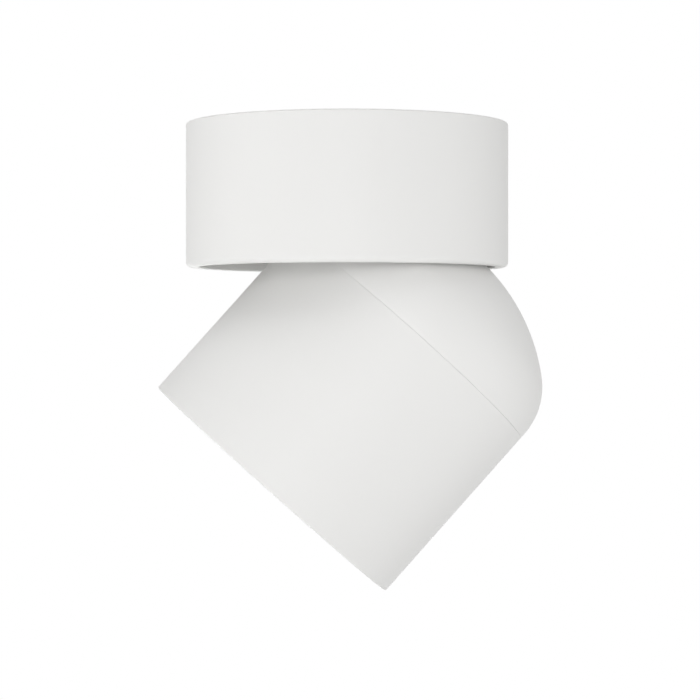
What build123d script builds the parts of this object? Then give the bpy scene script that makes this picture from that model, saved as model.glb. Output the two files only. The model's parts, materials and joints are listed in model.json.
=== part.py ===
"""Surface mounted ceiling spotlight: a drum canopy with a tilting, swivelling barrel head.

Frame: millimetres, +Z up, origin on the ceiling plane at the canopy's axis, so the object hangs
below z = 0. The head tilts about the Y direction, through a pivot on the canopy's axis. The
head's own frame has its origin at that pivot and +Z towards its domed rear; place_head() tilts
it and puts it under the canopy, with its front pointing down and to -X.
"""

from build123d import *
from math import acos, asin, ceil, cos, degrees, hypot, pi, radians, sin, sqrt, tan
import os

# ---- Canopy ---------------------------------------------------------------------------------
CANOPY_RADIUS = 55.0
CANOPY_WALL = 2.5
CANOPY_RIM_ROUND = 1.8
CANOPY_TOP_CHAMFER = 0.4
LIP_WIDTH = 4.5  # from the outer wall in to the mouth
LIP_THICKNESS = 3.0
LIP_EDGE_ROUND = 0.6
BOSS_RADIUS = 4.0
BOSS_HEIGHT = 12.0
BOSS_WEB = 3.0
BOSS_OVERHANG = 0.3  # boss beyond the carrier plate's edge
BOSS_COUNT = 4

# ---- Mounting plate and what hangs from it --------------------------------------------------
PLATE_THICKNESS = 1.5
PLATE_GAP = 0.3  # plate edge to canopy wall
FIXING_SPACING = 70.0
FIXING_SLOT_LENGTH = 9.0
FIXING_SLOT_WIDTH = 4.5
TAB_WIDTH = 12.0
TAB_DROP = 10.0
TAB_FOOT = 9.0
TAB_ANGLES = (8.0, 172.0)  # both just behind the silhouette of the photographed side
LOCK_SCREW_RADIUS = 2.0
LOCK_SCREW_DROP = 7.0
LOCK_SCREW_SUNK = 0.4  # below the canopy's outer face
LOCK_SCREW_HEX = 1.0
CABLE_HOLE_INSET = 3.2  # plate's edge to the cable hole, on -Y
CABLE_HOLE_RADIUS = 5.0
GROMMET_BORE = 4.0
GROMMET_FLANGE = 6.5
GROMMET_FLANGE_HEIGHT = 1.5
TERMINAL_LENGTH = 27.0
TERMINAL_DEPTH = 14.0
TERMINAL_HEIGHT = 11.0
TERMINAL_GAP = 2.5  # grommet to terminal block
TERMINAL_PITCH = 9.0
TERMINAL_HOLE_RADIUS = 1.6
TERMINAL_HOLE_DEPTH = 5.0
TERMINAL_ROUND = 1.5

# ---- Swivel: carrier plate, tube and arm ----------------------------------------------------
CARRIER_THICKNESS = 2.0
CARRIER_GAP = 0.3  # plate edge to canopy mouth
GLIDE_RADIUS = 12.0
GLIDE_THICKNESS = 0.5
WAVE_THICKNESS = 0.8
WAVE_RADIUS = 9.5
SWIVEL_TUBE_RADIUS = 5.0
SWIVEL_TUBE_BORE = 3.5
SWIVEL_NUT_HEIGHT = 4.0
SWIVEL_NUT_FLATS = 15.0
TUBE_STANDS_PROUD = 0.5
RUNNING_FIT = 0.05
SEAT_FIT = 0.05  # radial, between fixed round pieces
FOOT_RADIUS = 15.0
FOOT_THICKNESS = 3.0
FOOT_TO_DOME = 2.8  # foot's lower face to the dome's top when the head points straight down
STOP_TAB_REACH = 21.5
STOP_TAB_WIDTH = 2.0
STOP_PIN_RADIUS = 0.75
STOP_PIN_CIRCLE = 20.0
ARM_THICKNESS = 3.0
ARM_WIDTH = 8.0
ARM_EYE_RADIUS = 6.0
ARM_ROOT_ROUND = 1.2
ARM_TAPER_START = 14.0  # below the foot, where the blade starts to widen towards its eye

# ---- Lamp lead ------------------------------------------------------------------------------
LEAD_RADIUS = 1.2
LEAD_BEND = 6.0
LEAD_TIGHT_BEND = 2.6
LEAD_GAP = 1.3  # lead to the arm's blade
LEAD_SPLIT_DEPTH = 2.5  # tube's top to where the lead starts to turn with it
LEAD_BOLT_GAP = 0.7  # pivot bolt's end to the lead
LEAD_TANGENT = 0.5  # straight stretch between a bend and the tilt axis
LEAD_LEAVES_AXIS = 0.76  # heights on the arm, as shares of the drop from the tube to the pivot
LEAD_REACHES_SIDE = 0.38
CORE_RADIUS = 0.9
CORE_OUT = 7.0  # straight run of a core out of the terminal block
CORE_IN = 9.0  # and into the driver
EARTH_STEP = 8.0  # sideways, on its way to the carrier plate

# ---- Head: outer form -----------------------------------------------------------------------
HEAD_RADIUS = 52.0
HEAD_WALL = 2.2
HEAD_FRONT = 38.7  # pivot to the front face
PIVOT_DROP = 46.7  # canopy rim to pivot
DOME_GAP = 1.78  # dome to the edge of the canopy's mouth
DOME_SHOULDER = 24.0  # radius that blends the barrel into the dome
DOME_LAND = 2.0  # straight stretch of the dome beyond the seam
SEAM_GAP = 0.12
FRONT_EDGE_ROUND = 0.5
SPIGOT_LENGTH = 6.0
SPIGOT_WALL = 2.0
SPIGOT_FIT = 0.1
TILT_REST = 41.8
TILT_LEAST = 0.0
TILT_MOST = 50.0
SLOT_SIDE_GAP = 1.0
SLOT_END_GAP = 0.4
SLOT_CORNER = 1.0
SLOT_CUT_PAST = 5.0  # the slot's cut runs this far past the dome
DOME_BOSS_RADIUS = 4.5

# ---- Head: heat sink and pivot --------------------------------------------------------------
SINK_SETBACK = 10.0  # pivot to the rear face of the heat sink's plate
SINK_THICKNESS = 4.0
SINK_GAP = 0.3
FIN_THICKNESS = 1.6
FIN_PITCH = 5.5
FIN_CLEARANCE = 1.5  # fins to dome and spigot
CHANNEL_HALF = 23.7  # free width on each side of the arm
LEAD_NOTCH_HALF = 4.5
LEAD_NOTCH_HEIGHT = 18.0
POST_INSET = 4.5  # heat sink to its posts, at the edge
POST_RADIUS = 5.0
POST_HEIGHT = 30.0
POST_COUNT = 3
POST_SCREW_SEAT = 3.5
POST_COUNTERBORE = 3.2
LUG_THICKNESS = 6.0
LUG_EYE_RADIUS = 7.0
LUG_FOOT_THICKNESS = 3.0
LUG_FOOT_LENGTH = 30.0
LUG_FOOT_WIDTH = 16.0
LUG_FOOT_ROUND = 3.0
LUG_SCREW_SPACING = 22.0
PIVOT_RADIUS = 2.5
PIVOT_HEAD_RADIUS = 4.25
PIVOT_HEAD_HEIGHT = 3.5
PIVOT_HEX = 2.0
PIVOT_NUT_HEIGHT = 4.0
PIVOT_NUT_FLATS = 8.0
PIVOT_END = 1.0
FRICTION_WASHER = 0.5
FRICTION_WASHER_RADIUS = 6.0
PIVOT_WASHER = 0.8
PIVOT_WASHER_RADIUS = 5.0

# ---- Head: light source and front -----------------------------------------------------------
PAD_THICKNESS = 0.3
BOARD_SIDE = 19.0
BOARD_THICKNESS = 1.0
EMITTER_RADIUS = 7.2
EMITTER_THICKNESS = 0.5
HOLDER_RADIUS = 17.0
HOLDER_HEIGHT = 4.0
HOLDER_APERTURE = 8.5
HOLDER_FLARE = 1.5
HOLDER_POCKET_GAP = 0.2
HOLDER_SCREW_CIRCLE = 13.5
HOLDER_SCREW_ANGLE = 20.0  # clear of the board's corners and the lug's screws
REFLECTOR_THROAT = 9.2
REFLECTOR_WALL = 0.8
REFLECTOR_BULGE = 3.2
REFLECTOR_RIM = 5.6  # flat rim that the glass holds down
GLASS_SETBACK = 5.7  # front face of the head to the glass
GLASS_THICKNESS = 2.0
GLASS_EDGE_GAP = 3.3  # barrel's inner wall to the glass
LEDGE_REACH = 6.0
LEDGE_THICKNESS = 3.0
LEDGE_CHAMFER = 0.4
GASKET_WALL = 1.2
GASKET_OVERLAP = 1.6
GASKET_FLANGE = 0.8
BEZEL_SETBACK = 0.4
BEZEL_LIP = 1.2
BEZEL_WIDTH = 4.2
BEZEL_WALL = 1.9
BAFFLE_WIDTH = 7.55
BAFFLE_STEPS = 4

# ---- Driver ---------------------------------------------------------------------------------
DRIVER_DEPTH = 26.0
DRIVER_HEIGHT = 14.5  # without its lid
DRIVER_WALL = 1.2
DRIVER_BOSS_GAP = 1.88  # driver's ends to the canopy's bosses
DRIVER_GLIDE_GAP = 0.5  # glide washers to the driver's face
DRIVER_AIR = 4.35  # over its case, for the lid and the wiring
DRIVER_CORNER = 2.0
DRIVER_EAR = 6.0
DRIVER_EAR_DEPTH = 8.0
DRIVER_BOARD_LIFT = 2.5
DRIVER_BOARD_THICKNESS = 1.6
DRIVER_BOARD_GAP = 0.8
DRIVER_LEAD_DROP = 3.5
MAINS_INPUT_OFFSET = 18.0  # mains side of the driver, from the canopy's axis towards -X
BOARD_FOOT_RADIUS = 1.5
BOARD_FOOT_INSET = 2.0
TRANSFORMER_X = 2.0  # its middle, from the board's
TRANSFORMER_LENGTH = 13.0
TRANSFORMER_DEPTH = 14.0
TRANSFORMER_LIMB = 2.5
WINDING_LENGTH = 10.0
CAPACITOR_LENGTH = 9.0
CAPACITOR_PITCH = 10.0
CHOKE_RADIUS = 4.5
CHOKE_BORE = 2.0
COMPONENT_GAP = 4.0
TRANSFORMER_FILL = 0.75  # heights and radii, as shares of the room over the board
YOKE_FILL = 0.19
WINDING_FILL = 0.22
CAPACITOR_FILL = 0.3
CHOKE_FILL = 0.45

# ---- Small screws, by shank radius, head radius and head height -----------------------------
SMALL_SCREW = (1.5, 2.75, 1.8)
EARTH_SCREW = (2.0, 3.6, 2.2)
SCREW_GRIP = 4.0  # length of thread in what holds it

# ---- Worked out from the above --------------------------------------------------------------
CANOPY_INNER = CANOPY_RADIUS - CANOPY_WALL
MOUTH_RADIUS = CANOPY_RADIUS - LIP_WIDTH
CARRIER_RADIUS = MOUTH_RADIUS - CARRIER_GAP
BOSS_CIRCLE = CARRIER_RADIUS - BOSS_RADIUS + BOSS_OVERHANG
PLATE_RADIUS = CANOPY_INNER - PLATE_GAP
CABLE_HOLE_OFFSET = PLATE_RADIUS - CABLE_HOLE_INSET - CABLE_HOLE_RADIUS  # from the axis, to -Y
TERMINAL_OFFSET = CABLE_HOLE_OFFSET - GROMMET_FLANGE - TERMINAL_GAP - TERMINAL_DEPTH / 2

DOME_RADIUS = hypot(MOUTH_RADIUS, PIVOT_DROP) - DOME_GAP
DOME_RISE = DOME_RADIUS - PIVOT_DROP  # the dome's top above the canopy's rim
SWIVEL_STACK = FOOT_THICKNESS + GLIDE_THICKNESS + CARRIER_THICKNESS
CANOPY_HEIGHT = (
    DOME_RISE + FOOT_TO_DOME + SWIVEL_STACK + DRIVER_HEIGHT + DRIVER_AIR + PLATE_THICKNESS
)  # comes to the photograph's 48.6
PIVOT_Z = -CANOPY_HEIGHT - PIVOT_DROP
FOOT_Z = PIVOT_Z + DOME_RADIUS + FOOT_TO_DOME  # lower face of the swivel arm's foot
FOOT_TOP_Z = FOOT_Z + FOOT_THICKNESS
CARRIER_Z = FOOT_TOP_Z + GLIDE_THICKNESS
CARRIER_TOP_Z = CARRIER_Z + CARRIER_THICKNESS
WAVE_Z = CARRIER_TOP_Z + GLIDE_THICKNESS
NUT_Z = WAVE_Z + WAVE_THICKNESS
TUBE_TOP_Z = NUT_Z + SWIVEL_NUT_HEIGHT + TUBE_STANDS_PROUD

SHOULDER_R = HEAD_RADIUS - DOME_SHOULDER  # centre of the dome's shoulder arc
SHOULDER_U = sqrt((DOME_RADIUS - DOME_SHOULDER) ** 2 - SHOULDER_R**2)
SEAM_U = SHOULDER_U - DOME_LAND
HEAD_INNER = HEAD_RADIUS - HEAD_WALL
SPIGOT_RADIUS = HEAD_INNER - SPIGOT_FIT
SPIGOT_BORE = SPIGOT_RADIUS - SPIGOT_WALL

ARM_INNER_Y = -(LEAD_RADIUS + LEAD_GAP)
ARM_OUTER_Y = ARM_INNER_Y - ARM_THICKNESS
SLOT_HALF = -ARM_OUTER_Y + SLOT_SIDE_GAP
ARM_CLEAR_HALF = ARM_WIDTH / 2 + SLOT_END_GAP
SLOT_CROWN_ANGLE = degrees(asin(ARM_CLEAR_HALF / (DOME_RADIUS - HEAD_WALL)))
SLOT_SHOULDER_ANGLE = degrees(asin(ARM_CLEAR_HALF * sin(radians(TILT_MOST)) / SPIGOT_BORE))

LUG_Y = ARM_INNER_Y + FRICTION_WASHER  # the lug's face beside the arm
LUG_FAR_Y = LUG_Y + LUG_THICKNESS
PIVOT_NUT_Y = LUG_FAR_Y + PIVOT_WASHER
PIVOT_NUT_END_Y = PIVOT_NUT_Y + PIVOT_NUT_HEIGHT
PIVOT_HEAD_Y = ARM_OUTER_Y - FRICTION_WASHER - PIVOT_WASHER  # under the bolt's head
LEAD_SIDE_Y = PIVOT_NUT_END_Y + PIVOT_END + LEAD_RADIUS + LEAD_BOLT_GAP  # past the bolt's end
LEAD_SPLIT_Y = LEAD_SIDE_Y + LEAD_BEND + LEAD_TANGENT  # where the lead crosses the tilt axis
LEAD_DROP_Y = LEAD_SPLIT_Y + LEAD_BEND + LEAD_TANGENT

SINK_RADIUS = HEAD_INNER - SINK_GAP
SINK_REAR_U = -SINK_SETBACK
SINK_FRONT_U = SINK_REAR_U - SINK_THICKNESS
POST_TOP_U = SINK_REAR_U + POST_HEIGHT
POST_CIRCLE = SINK_RADIUS - POST_INSET - POST_RADIUS
BOARD_U = SINK_FRONT_U - PAD_THICKNESS
EMITTER_U = BOARD_U - BOARD_THICKNESS
HOLDER_FRONT_U = SINK_FRONT_U - HOLDER_HEIGHT
FRONT_U = -HEAD_FRONT
GLASS_FRONT_U = FRONT_U + GLASS_SETBACK
GLASS_REAR_U = GLASS_FRONT_U + GLASS_THICKNESS
GLASS_RADIUS = HEAD_INNER - GLASS_EDGE_GAP
LEDGE_BORE = HEAD_INNER - LEDGE_REACH
GASKET_RADIUS = GLASS_RADIUS + GASKET_WALL
GASKET_FRONT_U = GLASS_FRONT_U - GASKET_FLANGE
BEZEL_FRONT_U = FRONT_U + BEZEL_SETBACK
BEZEL_LIP_U = BEZEL_FRONT_U + BEZEL_LIP
BEZEL_RADIUS = HEAD_INNER - SEAT_FIT
BEZEL_BORE = BEZEL_RADIUS - BEZEL_WIDTH
BAFFLE_OPENING = BEZEL_BORE - BAFFLE_WIDTH

DRIVER_LENGTH = 2 * (BOSS_CIRCLE * sqrt(0.5) - BOSS_RADIUS - DRIVER_BOSS_GAP)
DRIVER_OFFSET = GLIDE_RADIUS + DRIVER_GLIDE_GAP + DRIVER_DEPTH / 2  # its middle, towards +Y
DRIVER_TOP_Z = CARRIER_TOP_Z + DRIVER_HEIGHT
DRIVER_LEAD_Z = DRIVER_TOP_Z - DRIVER_LEAD_DROP
DRIVER_FACE_Y = DRIVER_OFFSET - DRIVER_DEPTH / 2
LEAD_SWIVEL_SPLIT_Z = TUBE_TOP_Z - LEAD_SPLIT_DEPTH

MIDDLE_UP = (Align.CENTER, Align.CENTER, Align.MIN)


# ---- Helpers --------------------------------------------------------------------------------
def disc(radius, low, high):
    """A round bar on the Z axis between two heights."""
    return Pos(0, 0, low) * Cylinder(radius, high - low, align=MIDDLE_UP)


def ring(outer, inner, low, high):
    """A plain ring on the Z axis between two heights."""
    return disc(outer, low, high) - disc(inner, low, high)


def block(length, depth, low, high):
    """A box centred on the Z axis between two heights."""
    return Pos(0, 0, low) * Box(length, depth, high - low, align=MIDDLE_UP)


def turned(*edges):
    """A solid turned about Z, from edges drawn with x as the radius and y as the height."""
    return revolve(Plane.XZ * make_face(edges), Axis.Z)


def turned_outline(points, radii=None):
    """A solid turned about Z from a closed outline, with a rounding radius for each corner."""
    if radii is None:
        return turned(Polyline(*points, close=True))
    return turned(FilletPolyline(*points, radius=radii, close=True))


def along_y(shape):
    """Turns a shape made along +Z so that it lies along +Y."""
    return Rot(-90, 0, 0) * shape


def around(count, circle, start=0.0):
    """Places on a circle about Z, evenly spread from a starting angle."""
    for index in range(count):
        angle = radians(start + index * 360 / count)
        yield circle * cos(angle), circle * sin(angle)


def hex_bar(flats, low, high):
    """A hexagonal bar on the Z axis, by its width across flats."""
    face = RegularPolygon(flats / 2, 6, major_radius=False)
    return Pos(0, 0, low) * extrude(face, high - low)


def screw(size, grip, seat, up=True):
    """A pan-head screw on the Z axis: its head sits above the seat height, or below it."""
    shank, head, height = size
    top = turned_outline(
        [(0, 0), (head, 0), (head, height), (0, height)], [0, 0, height * 0.6, 0]
    )
    drive = hex_bar(shank * 1.2, height * 0.4, height)
    body = top - drive + disc(shank - SEAT_FIT, -grip, 0)
    return Pos(0, 0, seat) * (body if up else Rot(180, 0, 0) * body)


def lead(points, radii, radius=LEAD_RADIUS):
    """A round lead along straight runs joined by arcs; prints its length and bends."""
    path = FilletPolyline(*points, radius=radii) if radii else Polyline(*points)
    start = Plane(origin=path @ 0, z_dir=path % 0)
    tube = sweep(start * Circle(radius), path=path)
    drift = tube.volume / (pi * radius**2 * path.length) - 1
    print(f"lead {path.length:.1f} mm, bends {radii}, volume off by {drift:.5f}")
    return tube


def wide_bends(points):
    """For each corner of a route, the largest arc that its two runs allow."""
    runs = [Vector(*b) - Vector(*a) for a, b in zip(points, points[1:])]
    for before, after in zip(runs, runs[1:]):
        half_turn = radians(before.get_angle(after)) / 2
        yield 0.45 * min(before.length, after.length) / tan(half_turn)


def place_head(shape, tilt=TILT_REST):
    """Moves a shape from the head's own frame to where the head hangs."""
    return Pos(0, 0, PIVOT_Z) * (Rot(0, tilt, 0) * shape)


# ---- Canopy side ----------------------------------------------------------------------------
def mounting_plate():
    """Steel disc on the ceiling with slotted fixing holes and a cable hole."""
    plate = disc(PLATE_RADIUS, -PLATE_THICKNESS, 0)
    slot = extrude(SlotOverall(FIXING_SLOT_LENGTH, FIXING_SLOT_WIDTH), -2 * PLATE_THICKNESS)
    for side in (-1, 1):
        plate -= Pos(side * FIXING_SPACING / 2, 0, PLATE_THICKNESS / 2) * slot
    for x, y, radius in plate_holes():
        plate -= Pos(x, y, 0) * disc(radius, -2 * PLATE_THICKNESS, 1)
    return plate


def plate_holes():
    """The x, y and radius of the plate's round holes: the cable's, the earth screw's, the block's."""
    return [
        (0, -CABLE_HOLE_OFFSET, CABLE_HOLE_RADIUS),
        (*earth_screw_place(), EARTH_SCREW[0]),
        *[(x, y, SMALL_SCREW[0]) for x, y in terminal_screw_places()],
    ]


def locking_tabs():
    """Two brackets welded under the plate, whose upright tabs take the locking screws."""
    top = -PLATE_THICKNESS
    inner = PLATE_RADIUS - PLATE_THICKNESS
    upright = ring(PLATE_RADIUS, inner, top - TAB_DROP, top)
    foot = ring(PLATE_RADIUS, PLATE_RADIUS - TAB_FOOT, top - PLATE_THICKNESS, top)
    window = Pos(PLATE_RADIUS, 0, 0) * Box(PLATE_RADIUS, TAB_WIDTH, 3 * TAB_DROP)
    hole = Rot(0, 90, 0) * Cylinder(LOCK_SCREW_RADIUS, 3 * PLATE_THICKNESS)
    tab = ((upright + foot) & window) - Pos(inner, 0, -LOCK_SCREW_DROP) * hole
    return Compound(children=[Rot(0, 0, angle) * tab for angle in TAB_ANGLES])


def cable_grommet():
    """Rubber ring in the cable hole, with a flange under the plate."""
    low = -PLATE_THICKNESS - GROMMET_FLANGE_HEIGHT
    body = turned_outline(
        [
            (GROMMET_BORE, 0),
            (CABLE_HOLE_RADIUS, 0),
            (CABLE_HOLE_RADIUS, -PLATE_THICKNESS),
            (GROMMET_FLANGE, -PLATE_THICKNESS),
            (GROMMET_FLANGE, low),
            (GROMMET_BORE, low),
        ],
        [0, 0, 0, 0, 0.6, 0],
    )
    return Pos(0, -CABLE_HOLE_OFFSET, 0) * body


def terminal_places():
    """The x of each way of the terminal block."""
    return [-TERMINAL_PITCH, 0.0, TERMINAL_PITCH]


def terminal_block():
    """Three-way terminal under the plate, with a wire hole on each side of each way."""
    low = -PLATE_THICKNESS - TERMINAL_HEIGHT
    body = Pos(0, -TERMINAL_OFFSET, 0) * block(
        TERMINAL_LENGTH, TERMINAL_DEPTH, low, -PLATE_THICKNESS
    )
    body = fillet(body.edges().group_by(Axis.Z)[0].filter_by(Axis.X), TERMINAL_ROUND)
    for x in terminal_places():
        for side in (-1, 1):
            y = -TERMINAL_OFFSET + side * (TERMINAL_DEPTH - TERMINAL_HOLE_DEPTH) / 2
            hole = along_y(Cylinder(TERMINAL_HOLE_RADIUS, TERMINAL_HOLE_DEPTH))
            body -= Pos(x, y, terminal_wire_z()) * hole
        well = disc(TERMINAL_HOLE_RADIUS, low, low + 2 * TERMINAL_HOLE_RADIUS)
        body -= Pos(x, -TERMINAL_OFFSET, 0) * well
    for x, y in terminal_screw_places():
        body -= Pos(x, y, 0) * disc(SMALL_SCREW[0], low, 0)
    return body


def terminal_wire_z():
    """Height of the terminal's wire holes."""
    return -PLATE_THICKNESS - TERMINAL_HEIGHT / 2


def terminal_screw_places():
    """The two screws that hold the terminal block, between its ways."""
    return [(side * TERMINAL_PITCH / 2, -TERMINAL_OFFSET) for side in (-1, 1)]


def terminal_screws():
    """Screws up through the block into the plate."""
    seat = -PLATE_THICKNESS - TERMINAL_HEIGHT
    one = screw(SMALL_SCREW, TERMINAL_HEIGHT + PLATE_THICKNESS, seat, up=False)
    return Compound(children=[Pos(x, y, 0) * one for x, y in terminal_screw_places()])


def earth_screw_place():
    """Where the plate's earth screw sits, beside the terminal block."""
    return TERMINAL_LENGTH / 2 + 2.5 * EARTH_SCREW[1], -TERMINAL_OFFSET + TERMINAL_DEPTH / 2


def earth_screw():
    """Earth screw, threaded into the plate from below."""
    x, y = earth_screw_place()
    return Pos(x, y, 0) * screw(EARTH_SCREW, PLATE_THICKNESS, -PLATE_THICKNESS, up=False)


def canopy_shell():
    """White drum: turned wall with an inward lip, four bosses and two locking-screw holes."""
    low = -CANOPY_HEIGHT
    shell = turned_outline(
        [
            (CANOPY_INNER, 0),
            (CANOPY_RADIUS - CANOPY_TOP_CHAMFER, 0),
            (CANOPY_RADIUS, -CANOPY_TOP_CHAMFER),
            (CANOPY_RADIUS, low),
            (MOUTH_RADIUS, low),
            (MOUTH_RADIUS, low + LIP_THICKNESS),
            (CANOPY_INNER, low + LIP_THICKNESS),
        ],
        [0, 0, 0, CANOPY_RIM_ROUND, LIP_EDGE_ROUND, LIP_EDGE_ROUND, LIP_EDGE_ROUND],
    )
    top = CARRIER_TOP_Z + BOSS_HEIGHT
    reach = CANOPY_INNER + CANOPY_WALL / 2 - BOSS_CIRCLE
    web = Pos(reach / 2, 0, 0) * block(reach, BOSS_WEB, CARRIER_TOP_Z, top)
    boss = disc(BOSS_RADIUS, CARRIER_TOP_Z, top) + web
    boss -= disc(SMALL_SCREW[0], CARRIER_TOP_Z, CARRIER_TOP_Z + 2 * SCREW_GRIP)
    for angle in boss_angles():
        shell += Rot(0, 0, angle) * (Pos(BOSS_CIRCLE, 0, 0) * boss)
    for angle in TAB_ANGLES:
        hole = Rot(0, 90, 0) * Cylinder(LOCK_SCREW_RADIUS + SEAT_FIT, 3 * CANOPY_WALL)
        place = Pos(CANOPY_RADIUS - CANOPY_WALL / 2, 0, -LOCK_SCREW_DROP)
        shell -= Rot(0, 0, angle) * (place * hole)
    return shell


def boss_angles():
    """Angles of the canopy's bosses, halfway between the axes."""
    return [(index + 0.5) * 360 / BOSS_COUNT for index in range(BOSS_COUNT)]


def locking_screws():
    """Grub screws through the canopy's wall into the plate's tabs."""
    inner = PLATE_RADIUS - PLATE_THICKNESS
    length = CANOPY_RADIUS - LOCK_SCREW_SUNK - inner
    grub = disc(LOCK_SCREW_RADIUS - SEAT_FIT, 0, length)
    grub -= hex_bar(2 * LOCK_SCREW_HEX, length / 2, length)
    grub = Pos(inner, 0, -LOCK_SCREW_DROP) * (Rot(0, 90, 0) * grub)
    return Compound(children=[Rot(0, 0, angle) * grub for angle in TAB_ANGLES])


def carrier_plate():
    """Steel plate on the canopy's bosses; the swivel tube turns in its middle hole."""
    plate = disc(CARRIER_RADIUS, CARRIER_Z, CARRIER_TOP_Z)
    plate -= disc(SWIVEL_TUBE_RADIUS + RUNNING_FIT, CARRIER_Z - 1, CARRIER_TOP_Z + 1)
    for x, y in around(BOSS_COUNT, BOSS_CIRCLE, boss_angles()[0]):
        plate -= Pos(x, y, 0) * disc(SMALL_SCREW[0], CARRIER_Z - 1, CARRIER_TOP_Z + 1)
    for x, y in driver_ear_places() + [earth_tag_place()]:
        plate -= Pos(x, y, 0) * disc(SMALL_SCREW[0], CARRIER_Z - 1, CARRIER_TOP_Z + 1)
    return plate - stop_pin(SEAT_FIT)


def carrier_screws():
    """Screws up through the carrier plate into the canopy's bosses."""
    one = screw(SMALL_SCREW, CARRIER_THICKNESS + SCREW_GRIP, CARRIER_Z, up=False)
    places = around(BOSS_COUNT, BOSS_CIRCLE, boss_angles()[0])
    return Compound(children=[Pos(x, y, 0) * one for x, y in places])


def stop_pin(extra=0.0):
    """Pin in the carrier plate, on +Y, that the arm's stop tab runs against."""
    pin = disc(STOP_PIN_RADIUS + extra, FOOT_Z, CARRIER_TOP_Z)
    return Pos(0, STOP_PIN_CIRCLE, 0) * pin


def glide_washers():
    """Nylon washers on both faces of the carrier plate."""
    bore = SWIVEL_TUBE_RADIUS + SEAT_FIT
    return Compound(
        children=[
            ring(GLIDE_RADIUS, bore, FOOT_TOP_Z, CARRIER_Z),
            ring(GLIDE_RADIUS, bore, CARRIER_TOP_Z, WAVE_Z),
        ]
    )


# ---- Driver ---------------------------------------------------------------------------------
def driver_ear_places():
    """The two screws that hold the driver, in the ears at its ends."""
    x = DRIVER_LENGTH / 2 + DRIVER_EAR / 2
    y = DRIVER_OFFSET - DRIVER_DEPTH / 2 + DRIVER_EAR_DEPTH / 2
    return [(-x, y), (x, y)]


def rounded_bar(length, depth, corner, low, high):
    """A block with rounded upright corners."""
    return Pos(0, 0, low) * extrude(RectangleRounded(length, depth, corner), high - low)


def driver_case():
    """Open-topped plastic case with a screw ear at each end and holes for its leads."""
    case = rounded_bar(DRIVER_LENGTH, DRIVER_DEPTH, DRIVER_CORNER, CARRIER_TOP_Z, DRIVER_TOP_Z)
    ears = rounded_bar(
        DRIVER_LENGTH + 2 * DRIVER_EAR,
        DRIVER_EAR_DEPTH,
        DRIVER_CORNER,
        CARRIER_TOP_Z,
        CARRIER_TOP_Z + 2 * DRIVER_WALL,
    )
    case += Pos(0, (DRIVER_EAR_DEPTH - DRIVER_DEPTH) / 2, 0) * ears
    case -= rounded_bar(
        DRIVER_LENGTH - 2 * DRIVER_WALL,
        DRIVER_DEPTH - 2 * DRIVER_WALL,
        DRIVER_CORNER - DRIVER_WALL,
        CARRIER_TOP_Z + DRIVER_WALL,
        DRIVER_TOP_Z,
    )
    case = Pos(0, DRIVER_OFFSET, 0) * case
    for x, y in driver_ear_places():
        case -= Pos(x, y, 0) * disc(SMALL_SCREW[0], CARRIER_TOP_Z, DRIVER_TOP_Z)
    for x, z, radius in driver_lead_holes():
        hole = along_y(Cylinder(radius + SEAT_FIT, 3 * DRIVER_WALL))
        case -= Pos(x, DRIVER_FACE_Y, z) * hole
    return case


def driver_lead_holes():
    """The x, z and radius of the leads that enter the driver's face."""
    core_x = [-MAINS_INPUT_OFFSET - side * 2 * CORE_RADIUS for side in (1, -1)]
    return [(0.0, DRIVER_LEAD_Z, LEAD_RADIUS)] + [(x, DRIVER_LEAD_Z, CORE_RADIUS) for x in core_x]


def driver_lid():
    """Lid with a lip that drops inside the case."""
    top = rounded_bar(
        DRIVER_LENGTH, DRIVER_DEPTH, DRIVER_CORNER, DRIVER_TOP_Z, DRIVER_TOP_Z + DRIVER_WALL
    )
    inset = DRIVER_WALL + SEAT_FIT
    lip = rounded_bar(
        DRIVER_LENGTH - 2 * inset,
        DRIVER_DEPTH - 2 * inset,
        DRIVER_CORNER - DRIVER_WALL,
        DRIVER_TOP_Z - DRIVER_WALL,
        DRIVER_TOP_Z,
    )
    lip -= rounded_bar(
        DRIVER_LENGTH - 4 * inset,
        DRIVER_DEPTH - 4 * inset,
        DRIVER_CORNER - DRIVER_WALL,
        DRIVER_TOP_Z - DRIVER_WALL,
        DRIVER_TOP_Z,
    )
    return Pos(0, DRIVER_OFFSET, 0) * (top + lip)


def driver_board():
    """Circuit board on four feet that stand on the case's floor."""
    low = CARRIER_TOP_Z + DRIVER_WALL
    length = DRIVER_LENGTH - 2 * (DRIVER_WALL + DRIVER_BOARD_GAP)
    depth = DRIVER_DEPTH - 2 * (DRIVER_WALL + DRIVER_BOARD_GAP)
    lift = low + DRIVER_BOARD_LIFT
    board = block(length, depth, lift, lift + DRIVER_BOARD_THICKNESS)
    for x in (-1, 1):
        for y in (-1, 1):
            place = Pos(x * (length / 2 - BOARD_FOOT_INSET), y * (depth / 2 - BOARD_FOOT_INSET), 0)
            board += place * disc(BOARD_FOOT_RADIUS, low, lift)
    return Pos(0, DRIVER_OFFSET, 0) * board


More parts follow.
